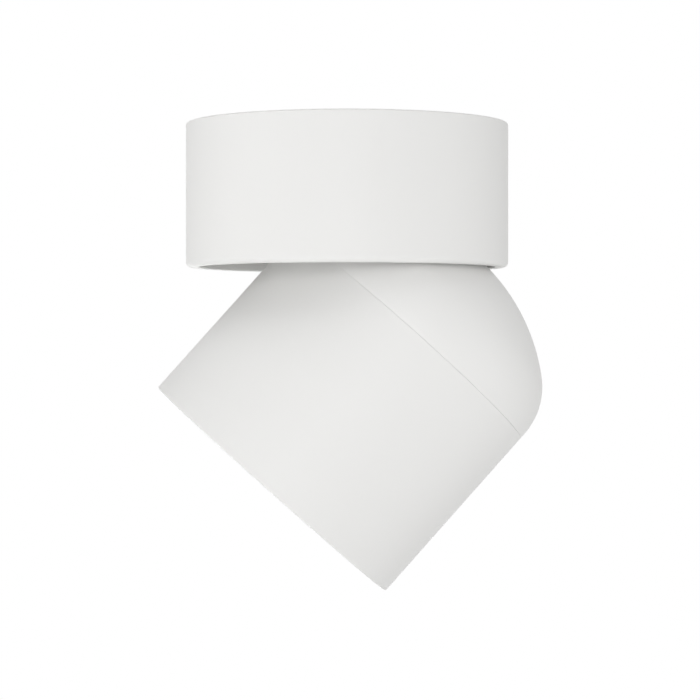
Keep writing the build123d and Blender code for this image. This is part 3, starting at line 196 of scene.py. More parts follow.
class Shader(Nodes):
    """A material under construction, with its principled surface and its coordinates."""

    def __init__(self, name: str) -> None:
        """Makes a node material with a principled surface.

        Args:
            name: the material's name.
        """
        self.material = bpy.data.materials.new(name)
        self.material.use_nodes = True
        super().__init__(self.material.node_tree)
        self.surface = self.tree.nodes["Principled BSDF"]
        self.place = self.node("ShaderNodeTexCoord", {}, []).outputs["Object"]

    def set(self, **sockets: object) -> None:
        """Feeds sockets of the surface, named with underscores for spaces."""
        for key, given in sockets.items():
            self.feed(self.surface.inputs[key.replace("_", " ")], given)

    def noise(self, scale: float, detail: float = 3.0, roughness: float = 0.5) -> Value:
        """Noise over the object's own place, from 0 to 1.

        Args:
            scale: how many features there are to a metre.
            detail: number of finer octaves.
            roughness: strength of the finer octaves.

        Returns:
            The noise's value.
        """
        inputs = {"Vector": self.place, "Scale": scale, "Detail": detail, "Roughness": roughness}
        return self.value("ShaderNodeTexNoise", {}, inputs, "Fac")

    def cells(self, scale: float) -> Value:
        """Distance to the nearest of scattered points, for grains and spangles."""
        inputs = {"Vector": self.place, "Scale": scale}
        return self.value("ShaderNodeTexVoronoi", {"feature": "F1"}, inputs, "Distance")

    def axes(self) -> tuple[Value, Value, Value]:
        """The object's X, Y and Z as values, in metres."""
        split = self.node("ShaderNodeSeparateXYZ", {}, [self.place])
        return tuple(Value(self, output) for output in split.outputs)

    def blend(self, factor: Value, first: object, second: object) -> bpy.types.NodeSocket:
        """Mixes two colours by a factor."""
        mix = self.node("ShaderNodeMix", {"data_type": "RGBA"}, {0: factor, 6: first, 7: second})
        return mix.outputs[2]

    def shades(self, factor: Value, colour: Colour, shares: Point) -> bpy.types.NodeSocket:
        """Swings a colour between a darker and a lighter share of itself."""
        return self.blend(factor, tinted(colour, shares[0]), tinted(colour, shares[1]))

    def swing(self, factor: Value, middle: float, reach: Point) -> Value:
        """Swings a number about its middle value."""
        return self.ramp(factor, middle + reach[0], middle + reach[1])

    def bump(self, height: Value, depth: float, strength: float) -> None:
        """Raises the surface by a height from 0 to 1, times a depth in metres."""
        inputs = {"Strength": strength, "Distance": depth, "Height": height}
        self.set(Normal=self.node("ShaderNodeBump", {}, inputs).outputs[0])


def tinted(colour: Colour, share: float) -> Colour:
    """A colour made lighter (share above 1) or darker, kept within white."""
    return tuple(min(1.0, part * share) for part in colour)


# ---- Finishes -------------------------------------------------------------------------------
@dataclass(frozen=True)
class PowderCoat:
    """Matt powder coating: a fine even texture with a soft sheen."""

    slot: str
    colour: Colour
    roughness: float = 0.58
    roughness_reach: Point = (-0.04, 0.05)
    specular: float = 0.42
    grain: float = 1500.0
    grain_depth: float = 0.000022
    flow: float = 260.0
    cloud: float = 18.0
    cloud_shares: Point = (0.985, 1.012)

    def material(self) -> bpy.types.Material:
        """Builds the coating.

        Returns:
            Its material.
        """
        shader = Shader(self.slot)
        grain = shader.noise(self.grain, 2.0, 0.6)
        flow = shader.noise(self.flow, 2.0)
        cloud = shader.noise(self.cloud, 2.0)
        shader.set(
            Base_Color=shader.shades(cloud, self.colour, self.cloud_shares),
            Roughness=shader.swing(flow, self.roughness, self.roughness_reach),
            Specular_IOR_Level=self.specular,
        )
        shader.bump(0.7 * grain + 0.5 * flow, self.grain_depth, 0.6)
        return shader.material


@dataclass(frozen=True)
class Metal:
    """Bare metal with a grain of its own, and zinc spangles or a thread where it has them."""

    slot: str
    colour: Colour
    roughness: float
    grain: float
    grain_depth: float = 0.00001
    roughness_reach: Point = (-0.06, 0.1)
    tarnish: float = 60.0
    tarnish_shares: Point = (0.86, 1.08)
    spangle: float = 0.0
    thread_pitch: float = 0.0
    thread_depth: float = 0.0003

    def material(self) -> bpy.types.Material:
        """Builds the metal.

        Returns:
            Its material.
        """
        shader = Shader(self.slot)
        grain = shader.noise(self.grain, 4.0, 0.6)
        tarnish = shader.noise(self.tarnish, 3.0)
        tone = tarnish
        if self.spangle:
            tone = 0.55 * tarnish + 0.6 * shader.cells(self.spangle)
        shader.set(
            Base_Color=shader.shades(tone, self.colour, self.tarnish_shares),
            Metallic=1.0,
            Roughness=shader.swing(tarnish, self.roughness, self.roughness_reach),
        )
        height, depth = grain, self.grain_depth
        if self.thread_pitch:
            x, y, z = shader.axes()
            phase = z * (math.tau / self.thread_pitch) + y.turn_with(x)
            height, depth = 0.5 + 0.5 * phase.sine() + 0.05 * grain, self.thread_depth
        shader.bump(height, depth, 0.7)
        return shader.material


@dataclass(frozen=True)
class Moulding:
    """Moulded plastic or rubber: a fine spark-eroded grain and slight unevenness."""

    slot: str
    colour: Colour
    roughness: float
    grain: float = 1800.0
    grain_depth: float = 0.000015
    roughness_reach: Point = (-0.05, 0.06)
    shift: float = 45.0
    shift_shares: Point = (0.93, 1.05)
    glow: float = 0.0
    glow_reach: Colour = (0.002, 0.0018, 0.0014)

    def material(self) -> bpy.types.Material:
        """Builds the moulding.

        Returns:
            Its material.
        """
        shader = Shader(self.slot)
        grain = shader.cells(self.grain)
        shift = shader.noise(self.shift, 2.0)
        shader.set(
            Base_Color=shader.shades(shift, self.colour, self.shift_shares),
            Roughness=shader.swing(shift, self.roughness, self.roughness_reach),
            Subsurface_Weight=self.glow,
            Subsurface_Radius=self.glow_reach,
        )
        shader.bump(grain, self.grain_depth, 0.5)
        return shader.material


@dataclass(frozen=True)
class StripedCore:
    """Insulation with a second colour along half of its round."""

    slot: str
    colour: Colour
    stripe: Colour
    attribute: str = "upward"
    stripe_limit: float = 0.25
    roughness: float = 0.42
    fine: float = 900.0
    fine_shares: Point = (0.94, 1.04)

    def material(self) -> bpy.types.Material:
        """Builds the insulation; the stripe follows the piece's own attribute.

        Returns:
            Its material.
        """
        shader = Shader(self.slot)
        settings = {"attribute_name": self.attribute}
        striped = shader.value("ShaderNodeAttribute", settings, [], "Fac").above(self.stripe_limit)
        fine = shader.noise(self.fine, 2.0)
        base = shader.shades(fine, self.colour, self.fine_shares)
        shader.set(Base_Color=shader.blend(striped, base, self.stripe), Roughness=self.roughness)
        shader.bump(fine, 0.00001, 0.4)
        return shader.material


@dataclass(frozen=True)
class CircuitBoard:
    """Solder mask over copper tracks, with bare pads."""

    slot: str
    mask: Colour
    copper: Colour
    pitch: float = 0.0034
    pad_limit: float = 0.86
    wander: float = 190.0
    tracks: float = 26.0
    track_limit: float = 0.25
    track_share: float = 1.6

    def material(self) -> bpy.types.Material:
        """Builds the board from stepped noise for its tracks and a grid of pads.

        Returns:
            Its material.
        """
        shader = Shader(self.slot)
        x, y, _ = shader.axes()
        wander = shader.noise(self.wander, 0.0)
        track = (wander * self.tracks).sine().above(self.track_limit)
        grid = (x * (math.tau / self.pitch)).sine() * (y * (math.tau / self.pitch)).sine()
        pad = grid.above(self.pad_limit)
        fine = shader.noise(2500.0, 2.0)
        under = shader.blend(track, self.mask, tinted(self.mask, self.track_share))
        shader.set(
            Base_Color=shader.blend(pad, under, self.copper),
            Metallic=0.9 * pad,
            Roughness=shader.ramp(fine, 0.22, 0.34),
        )
        shader.bump(0.8 * track + 0.2 * fine, 0.00003, 0.8)
        return shader.material


@dataclass(frozen=True)
class ClearGlass:
    """Clear float glass."""

    slot: str
    tint: Colour = (0.97, 0.985, 0.98)
    smear: float = 70.0
    smear_roughness: float = 0.02

    def material(self) -> bpy.types.Material:
        """Builds the glass.

        Returns:
            Its material.
        """
        shader = Shader(self.slot)
        smear = shader.noise(self.smear, 3.0)
        shader.set(
            Base_Color=self.tint,
            Roughness=shader.ramp(smear, 0.0, self.smear_roughness),
            IOR=1.5,
            Transmission_Weight=1.0,
        )
        return shader.material


@dataclass(frozen=True)
class Phosphor:
    """Silicone with phosphor over the light source's chips."""

    slot: str
    colour: Colour
    chip_pitch: float = 0.0014
    chip_shares: Point = (0.82, 1.0)
    glow_reach: Colour = (0.001, 0.0008, 0.0002)

    def material(self) -> bpy.types.Material:
        """Builds the phosphor, a little darker over each chip.

        Returns:
            Its material.
        """
        shader = Shader(self.slot)
        chips = shader.cells(1.0 / self.chip_pitch)
        fine = shader.noise(1600.0, 2.0)
        shader.set(
            Base_Color=shader.shades(chips, self.colour, self.chip_shares),
            Roughness=shader.ramp(fine, 0.22, 0.3),
            Subsurface_Weight=0.2,
            Subsurface_Radius=self.glow_reach,
        )
        shader.bump(0.5 * chips + 0.5 * fine, 0.00004, 0.5)
        return shader.material


BLUE_CORE = Moulding("neutral_core", (0.02, 0.1, 0.42), 0.4, 1500.0)
FINISHES = (
    PowderCoat(COAT, (0.885, 0.882, 0.868)),
    Metal("zinc_steel", (0.60, 0.61, 0.61), 0.44, 900.0, spangle=170.0),
    Metal("cast_aluminium", (0.60, 0.61, 0.62), 0.46, 1100.0, 0.00004),
    Metal("brass", (0.75, 0.56, 0.24), 0.28, 1200.0, thread_pitch=0.001),
    Moulding("black_plastic", (0.018, 0.018, 0.019), 0.55),
    Moulding("white_plastic", (0.78, 0.78, 0.76), 0.42, glow=0.05),
    Moulding("nylon", (0.82, 0.81, 0.74), 0.38, glow=0.2),
    Moulding("fibre", (0.23, 0.11, 0.06), 0.7, 2600.0, 0.00003),
    CircuitBoard("circuit_board", (0.02, 0.14, 0.05), (0.75, 0.68, 0.55)),
    Moulding("components", (0.05, 0.05, 0.055), 0.35),
    Moulding("ceramic_board", (0.82, 0.82, 0.81), 0.3, 3000.0, 0.000006),
    Phosphor("phosphor", (0.93, 0.68, 0.10)),
    Moulding("thermal_pad", (0.38, 0.43, 0.5), 0.75, 2600.0, 0.00004),
    Metal("reflector_metal", (0.88, 0.88, 0.89), 0.1, 400.0, 0.000004),
    ClearGlass("clear_glass"),
    Moulding("grey_silicone", (0.42, 0.42, 0.42), 0.5, glow=0.1),
    Moulding("black_rubber", (0.02, 0.02, 0.02), 0.7, 2200.0, 0.00003),
    Moulding("lead_sheath", (0.74, 0.74, 0.72), 0.42, 1500.0),
    Moulding("mains_cores", (0.16, 0.06, 0.025), 0.4, 1500.0),
    StripedCore("earth_core", (0.06, 0.24, 0.05), (0.8, 0.68, 0.06)),
    BLUE_CORE,
)


@dataclass
class Palette:
    """The materials, each made when first asked for."""

    made: dict[str, bpy.types.Material] = field(default_factory=dict)

    def __getitem__(self, slot: str) -> bpy.types.Material:
        """The material of a slot.

        Args:
            slot: the finish's name.

        Returns:
            Its material.
        """
        if slot not in self.made:
            finish = next(finish for finish in FINISHES if finish.slot == slot)
            self.made[slot] = finish.material()
        return self.made[slot]


# ---- Profiles of turned pieces --------------------------------------------------------------
def rounded(corners: Sequence[Point], radii: Sequence[float], steps: int = 6) -> list[Point]:
    """Rounds the corners of a closed outline, as a turner breaks its edges.

    Args:
        corners: the outline's corners, in millimetres.
        radii: a rounding radius for each corner, 0 for a sharp one.
        steps: how many steps each rounding has.

    Returns:
        The outline's points.
    """
    points: list[Point] = []
    for index, (corner, radius) in enumerate(zip(corners, radii)):
        if radius <= 0:
            points.append(corner)
            continue
        here = Vector(corner)
        back = (Vector(corners[index - 1]) - here).normalized()
        ahead = (Vector(corners[(index + 1) % len(corners)]) - here).normalized()
        half = back.angle(ahead) / 2
        reach = radius / math.tan(half)
        first, last = here + back * reach, here + ahead * reach
        middle = here + (back + ahead).normalized() * (radius / math.sin(half))
        start, sweep = first - middle, (last - middle).angle_signed(first - middle)
        for step in range(steps + 1):
            turn = Matrix.Rotation(sweep * step / steps, 2)
            points.append(tuple(middle + turn @ start))
    return points


def arc(centre: Point, radius: float, start: float, end: float, steps: int) -> list[Point]:
    """Points on an arc, angles in degrees from the radial direction."""
    angles = [math.radians(start + (end - start) * i / steps) for i in range(steps + 1)]
    return [(centre[0] + radius * math.cos(a), centre[1] + radius * math.sin(a)) for a in angles]


def boss_outline(hole: float, depth: float, outer: float, low: float, high: float) -> list[Point]:
    """Half of a screw boss's section, with a blind hole from below."""
    end = low + depth
    return [(hole, low), (outer, low), (outer, high), (0.0, high), (0.0, end), (hole, end)]


# ---- Geometry node trees --------------------------------------------------------------------
class Tree(Nodes):
    """A geometry node tree with named inputs."""

    def __init__(self, name: str, inputs: Sequence[tuple[str, str, object]]) -> None:
        """Makes the tree's interface.

        Args:
            name: the tree's name.
            inputs: each input's name, socket type and default.
        """
        super().__init__(bpy.data.node_groups.new(name, "GeometryNodeTree"))
        face = self.tree.interface
        face.new_socket("Geometry", in_out="INPUT", socket_type="NodeSocketGeometry")
        for label, kind, default in inputs:
            face.new_socket(label, in_out="INPUT", socket_type=kind).default_value = default
        face.new_socket("Material", in_out="INPUT", socket_type="NodeSocketMaterial")
        face.new_socket("Geometry", in_out="OUTPUT", socket_type="NodeSocketGeometry")
        self.given = self.node("NodeGroupInput", {}, []).outputs

    def step(self, kind: str, settings: dict, inputs: "Sequence | dict") -> bpy.types.NodeSocket:
        """Adds a node and returns its first output."""
        return self.node(kind, settings, inputs).outputs[0]

    def finish(self, geometry: bpy.types.NodeSocket) -> bpy.types.NodeTree:
        """Ends the tree in real geometry with the piece's material.

        Args:
            geometry: what the tree has made.

        Returns:
            The tree.
        """
        real = self.step("GeometryNodeRealizeInstances", {}, {"Geometry": geometry})
        inputs = {"Geometry": real, "Material": self.given["Material"]}
        dressed = self.step("GeometryNodeSetMaterial", {}, inputs)
        self.node("NodeGroupOutput", {}, [dressed])
        return self.tree


def turning_tree() -> bpy.types.NodeTree:
    """Turns a profile round the Z axis: its X is the radius and its -Y the height.

    Returns:
        The tree.
    """
    inputs = [("Segments", "NodeSocketInt", 256), ("Hub radius", "NodeSocketFloat", MM)]
    tree = Tree("Turned piece", inputs)
    given = tree.given
    profile = tree.step("GeometryNodeMeshToCurve", {}, {"Mesh": given["Geometry"]})
    hub = {"Resolution": given["Segments"], "Radius": given["Hub radius"]}
    circle = tree.step("GeometryNodeCurvePrimitiveCircle", {}, hub)
    sweep = {"Curve": circle, "Profile Curve": profile}
    swept = tree.step("GeometryNodeCurveToMesh", {}, sweep)
    closed = tree.step("GeometryNodeMergeByDistance", {}, {"Geometry": swept, "Distance": 1e-6})
    return tree.finish(closed)


def ring_tree() -> bpy.types.NodeTree:
    """Sets copies of a piece on a circle about Z, each turned to face outwards.

    Returns:
        The tree.
    """
    inputs = [
        ("Count", "NodeSocketInt", 4),
        ("Circle", "NodeSocketFloat", 0.04),
        ("Start", "NodeSocketFloat", 0.0),
    ]
    tree = Tree("Ring of pieces", inputs)
    given = tree.given
    ring = {"Vertices": given["Count"], "Radius": given["Circle"]}
    circle = tree.step("GeometryNodeMeshCircle", {}, ring)
    turn = tree.step("ShaderNodeCombineXYZ", {}, {"Z": given["Start"]})
    turned = tree.step("GeometryNodeTransform", {}, {"Geometry": circle, "Rotation": turn})
    place = tree.step("GeometryNodeInputPosition", {}, {})
    facing = {"axis": "X", "pivot_axis": "Z"}
    outward = tree.step("FunctionNodeAlignEulerToVector", facing, {"Vector": place})
    copy = {"Points": turned, "Instance": given["Geometry"], "Rotation": outward}
    return tree.finish(tree.step("GeometryNodeInstanceOnPoints", {}, copy))


# ---- Workshop -------------------------------------------------------------------------------
@dataclass
class Workshop:
    """Makes meshes and turns them into pieces that ride on a body."""

    palette: Palette = field(default_factory=Palette)
    trees: dict[str, bpy.types.NodeTree] = field(default_factory=dict)
    count: int = 0

    def tree(self, make: Callable[[], bpy.types.NodeTree]) -> bpy.types.NodeTree:
        """A node tree, built once.

        Args:
            make: the function that builds it.

        Returns:
            The tree.
        """
        if make.__name__ not in self.trees:
            self.trees[make.__name__] = make()
        return self.trees[make.__name__]

    def run_tree(
        self, mesh: bpy.types.Mesh, tree: bpy.types.NodeTree, inputs: dict[str, object]
    ) -> bpy.types.Mesh:
        """Runs a geometry node tree over a mesh.

        Args:
            mesh: what the tree starts from.
            tree: the node tree.
            inputs: the tree's inputs by name.

        Returns:
            The plain mesh that comes out.
        """
        holder = bpy.data.objects.new("holder", mesh)
        bpy.context.scene.collection.objects.link(holder)
        modifier = holder.modifiers.new("tree", "NODES")
        modifier.node_group = tree
        for item in tree.interface.items_tree:
            if item.in_out == "INPUT" and item.name in inputs:
                modifier[item.identifier] = inputs[item.name]
        result = self.evaluated(holder)
        holder.modifiers.remove(modifier)
        bpy.data.objects.remove(holder)
        return result

    @staticmethod
    def evaluated(holder: bpy.types.Object) -> bpy.types.Mesh:
        """A plain mesh of an object with its modifiers applied.

        Args:
            holder: the object.

        Returns:
            Its mesh.
        """
        bpy.context.view_layer.update()
        graph = bpy.context.evaluated_depsgraph_get()
        return bpy.data.meshes.new_from_object(holder.evaluated_get(graph))

    def turned(
        self, outline: Sequence[Point], slot: str, segments: int = 256, closed: bool = True
    ) -> bpy.types.Mesh:
        """Turns an outline round the Z axis.

        Args:
            outline: radius and height of each point, in millimetres.
            slot: the finish.
            segments: how many steps there are in a turn.
            closed: whether the last point joins the first; a dome's profile ends on the axis.

        Returns:
            The turned mesh, its faces outwards.
        """
        hub = MM
        points = [(radius * MM - hub, -height * MM, 0.0) for radius, height in outline]
        edges = [(i, i + 1) for i in range(len(points) - 1)]
        if closed:
            edges.append((len(points) - 1, 0))
        mesh = bpy.data.meshes.new("profile")
        mesh.from_pydata(points, edges, [])
        inputs = {"Segments": segments, "Hub radius": hub, "Material": self.palette[slot]}
        return face_outwards(self.run_tree(mesh, self.tree(turning_tree), inputs))

    def ringed(
        self, mesh: bpy.types.Mesh, count: int, circle: float, start: float, slot: str
    ) -> bpy.types.Mesh:
        """Sets copies of a mesh on a circle.

        Args:
            mesh: one copy, facing +X at the origin.
            count: how many copies.
            circle: the circle's radius in millimetres.
            start: the first copy's angle in degrees.
            slot: the finish.

        Returns:
            The mesh of all copies.
        """
        inputs = {
            "Count": count,
            "Circle": circle * MM,
            "Start": math.radians(start),
            "Material": self.palette[slot],
        }
        return self.run_tree(mesh, self.tree(ring_tree), inputs)

    def cut(self, mesh: bpy.types.Mesh, cutter: bpy.types.Mesh) -> bpy.types.Mesh:
        """Takes one closed mesh away from another.

        Args:
            mesh: what is cut.
            cutter: what is taken away.

        Returns:
            What is left.
        """
        holder, tool = (bpy.data.objects.new("cut", data) for data in (mesh, cutter))
        for each in (holder, tool):
            bpy.context.scene.collection.objects.link(each)
        boolean = holder.modifiers.new("cut", "BOOLEAN")
        boolean.operation, boolean.solver, boolean.object = "DIFFERENCE", "EXACT", tool
        result = self.evaluated(holder)
        for each in (holder, tool):
            bpy.data.objects.remove(each)
        return result

    def piece(
        self,
        name: str,
        mesh: bpy.types.Mesh,
        body: Body,
        slot: str,
        nodes: Iterable[str] = (),
        shading: Shading = Shading.SMOOTH,
    ) -> bpy.types.Object:
        """Makes a finished piece of a mesh that is already in place.

        Args:
            name: the piece's name.
            mesh: its mesh, in the frame of the solids.
            body: the body that it rides on.
            slot: the record's material slot.
            nodes: the solids that it stands for.
            shading: how its faces are shaded.

        Returns:
            The piece.
        """
        mesh.name = name
        mesh.materials.clear()
        mesh.materials.append(self.palette[slot])
        mesh.polygons.foreach_set("material_index", [0] * len(mesh.polygons))
        shade(mesh, shading)
        made = bpy.data.objects.new(name, mesh)
        bpy.context.scene.collection.objects.link(made)
        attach(made, body.value)
        if nodes:
            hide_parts(*nodes)
        self.count += 1
        LOG.info("%s: %d faces on %s, in %s", name, len(mesh.polygons), body.value, slot)
        return made


def shade(mesh: bpy.types.Mesh, shading: Shading) -> None:
    """Shades a mesh smooth up to an angle, or flat.

    Args:
        mesh: the mesh.
        shading: how it is shaded.
    """
    smooth = shading is not Shading.FLAT
    mesh.polygons.foreach_set("use_smooth", [smooth] * len(mesh.polygons))
    if smooth:
        mesh.set_sharp_from_angle(angle=math.radians(shading.value))
    mesh.update()


def mesh_of(work: bmesh.types.BMesh, name: str) -> bpy.types.Mesh:
    """Ends a mesh under construction.

    Args:
        work: what was built; it is freed.
        name: the new mesh's name.

    Returns:
        The mesh.
    """
    mesh = bpy.data.meshes.new(name)
    work.to_mesh(mesh)
    work.free()
    return mesh


def face_outwards(mesh: bpy.types.Mesh) -> bpy.types.Mesh:
    """Turns a closed mesh's faces outwards.

    Args:
        mesh: the mesh, which is changed.

    Returns:
        The same mesh.
    """
    work = bmesh.new()
    work.from_mesh(mesh)
    if work.calc_volume(signed=True) < 0:
        bmesh.ops.reverse_faces(work, faces=work.faces)
    work.to_mesh(mesh)
    work.free()
    return mesh


def moved(mesh: bpy.types.Mesh, place: Matrix) -> bpy.types.Mesh:
    """Puts a mesh in its place."""
    mesh.transform(place)
    return mesh


def joined(*meshes: bpy.types.Mesh) -> bpy.types.Mesh:
    """Makes one mesh of several.

    Args:
        *meshes: the meshes.

    Returns:
        The new mesh.
    """
    work = bmesh.new()
    for mesh in meshes:
        work.from_mesh(mesh)
    return mesh_of(work, "joined")


def bar(radius: float, low: float, high: float, sides: int) -> bpy.types.Mesh:
    """A round bar on the Z axis.

    Args:
        radius: its radius, in millimetres.
        low: height of its lower end.
        high: height of its upper end.
        sides: how many sides stand for its round.

    Returns:
        Its mesh.
    """
    work = bmesh.new()
    made = bmesh.ops.create_cone(
        work,
        cap_ends=True,
        segments=sides,
        radius1=radius * MM,
        radius2=radius * MM,
        depth=(high - low) * MM,
    )
    bmesh.ops.translate(work, verts=made["verts"], vec=(0, 0, (low + high) / 2 * MM))
    return mesh_of(work, "bar")


def block(x: Point, y: Point, z: Point) -> bpy.types.Mesh:
    """A block between two corners.

    Args:
        x: its two ends along X, in millimetres.
        y: its two ends along Y.
        z: its two ends along Z.

    Returns:
        Its mesh.
    """
    work = bmesh.new()
    bmesh.ops.create_cube(work, size=1.0)
    for vertex in work.verts:
        for index, (low, high) in enumerate((x, y, z)):
            vertex.co[index] = ((low + high) / 2 + vertex.co[index] * (high - low)) * MM
    return mesh_of(work, "block")


# ---- Sub-assemblies -------------------------------------------------------------------------
@dataclass
class CarriedNodes:
    """Solids whose shape is right: merged copies with smooth faces and their full finish."""

    body: Body
    slots: dict[str, str]

    @staticmethod
    def merged(node: str) -> bpy.types.Mesh:
        """A copy of a solid's mesh with its loose triangles joined.

        Args:
            node: the solid's name.

        Returns:
            The copy.
        """
        work = bmesh.new()
        work.from_mesh(frame["nodes"][node].data)
        bmesh.ops.remove_doubles(work, verts=work.verts, dist=1e-6)
        return mesh_of(work, node)

    def build(self, shop: Workshop) -> None:
        """Makes one piece for each solid."""
        for node, slot in self.slots.items():
            shop.piece(f"{node}_dressed", self.merged(node), self.body, slot, [node])


@dataclass
class Canopy:
    """The white drum with its lip, bosses and locking-screw holes."""

    radius: float = 55.0
    wall: float = 2.5
    height: float = -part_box("canopy_shell")[0].z / MM
    lip_width: float = 4.5
    lip_thickness: float = 3.0
    rim_round: float = 1.8
    top_chamfer: float = 0.4
    chamfer_round: float = 0.1
    lip_round: float = 0.6
    boss_count: int = 4
    boss_start: float = 45.0
    boss_radius: float = 4.0
    boss_circle: float = 46.5
    boss_heights: Point = (-20.0, -8.0)
    boss_hole: float = 1.5
    boss_hole_depth: float = 8.0
    web: float = 3.0
    web_start: float = 2.5
    screw_hole: float = 2.05
    screw_drop: float = 7.0
    screw_reach: float = 3.0
    screw_angles: Point = (8.0, 172.0)

    def shell(self, shop: Workshop) -> bpy.types.Mesh:
        """Turns the drum and drills its two side holes.

        Args:
            shop: the workshop.

        Returns:
            The drum's mesh.
        """
        low, inner = -self.height, self.radius - self.wall
        mouth = self.radius - self.lip_width
        corners = [
            (inner, 0.0),
            (self.radius - self.top_chamfer, 0.0),
            (self.radius, -self.top_chamfer),
            (self.radius, low),
            (mouth, low),
            (mouth, low + self.lip_thickness),
            (inner, low + self.lip_thickness),
        ]
        edge, lip = [self.chamfer_round] * 2, [self.lip_round] * 3
        outline = rounded(corners, [0.0, *edge, self.rim_round, *lip], steps=10)
        shell = shop.turned(outline, COAT)
        level = Matrix.Rotation(math.pi / 2, 4, "Y")
        for angle in self.screw_angles:
            hole = bar(self.screw_hole, -self.screw_reach, self.screw_reach, sides=48)
            place = Matrix.Rotation(math.radians(angle), 4, "Z") @ Matrix.Translation(
                (self.radius * MM, 0, -self.screw_drop * MM)
            )
            shell = shop.cut(shell, moved(hole, place @ level))
        return shell

    def bosses(self, shop: Workshop) -> bpy.types.Mesh:
        """Sets the four screw bosses with their webs in a ring.

        Args:
            shop: the workshop.

        Returns:
            The bosses' mesh.
        """
        low, high = self.boss_heights
        reach = self.radius - self.wall / 2 - self.boss_circle
        outline = boss_outline(self.boss_hole, self.boss_hole_depth, self.boss_radius, low, high)
        sleeve = shop.turned(outline, COAT, segments=48, closed=False)
        rib = block((self.web_start, reach), (-self.web / 2, self.web / 2), (low, high))
        return shop.ringed(joined(sleeve, rib), self.boss_count, self.boss_circle, self.boss_start, COAT)

    def build(self, shop: Workshop) -> None:
        """Makes the canopy's visible shell."""
        mesh = joined(self.shell(shop), self.bosses(shop))
        shop.piece("canopy_drum", mesh, Body.CANOPY, COAT, ["canopy_shell"])


@dataclass
class Wiring:
    """The mains cores and the earth lead inside the canopy."""

    carried: CarriedNodes

    @staticmethod
    def islands(work: bmesh.types.BMesh) -> list[list[bmesh.types.BMVert]]:
        """Finds the connected parts of a mesh.

        Args:
            work: the mesh.

        Returns:
            The vertices of each part.
        """
        left, found = set(work.verts), []
        while left:
            reached, edge = [], [left.pop()]
            while edge:
                vertex = edge.pop()
                reached.append(vertex)
                near = {e.other_vert(vertex) for e in vertex.link_edges} & left
                left -= near
                edge.extend(near)
            found.append(reached)
        return found

    def core(self, left: bool) -> bpy.types.Mesh:
        """Takes one of the two mains cores by itself.

        Args:
            left: whether it is the core that reaches further to -X.

        Returns:
            The core's mesh.
        """
        work = bmesh.new()
        work.from_mesh(self.carried.merged("mains_leads"))
        cores = sorted(self.islands(work), key=lambda island: min(v.co.x for v in island))
        unwanted = cores[1] if left else cores[0]
        bmesh.ops.delete(work, geom=unwanted, context="VERTS")
        return mesh_of(work, "core")

    def build(self, shop: Workshop) -> None:
        """Makes the two mains cores brown and blue, and the earth lead striped.

        Args:
            shop: the workshop.
        """
        shop.piece("line_core", self.core(left=True), Body.CANOPY, "mains_cores", ["mains_leads"])
        blue = shop.piece("neutral_core_blue", self.core(left=False), Body.CANOPY, "mains_cores")
        blue.data.materials[0] = shop.palette[BLUE_CORE.slot]
        earth = self.carried.merged("earth_lead")
        upward = earth.attributes.new("upward", "FLOAT", "POINT")
        upward.data.foreach_set("value", [vertex.normal.z for vertex in earth.vertices])
        shop.piece("earth_lead_striped", earth, Body.CANOPY, "earth_core", ["earth_lead"])


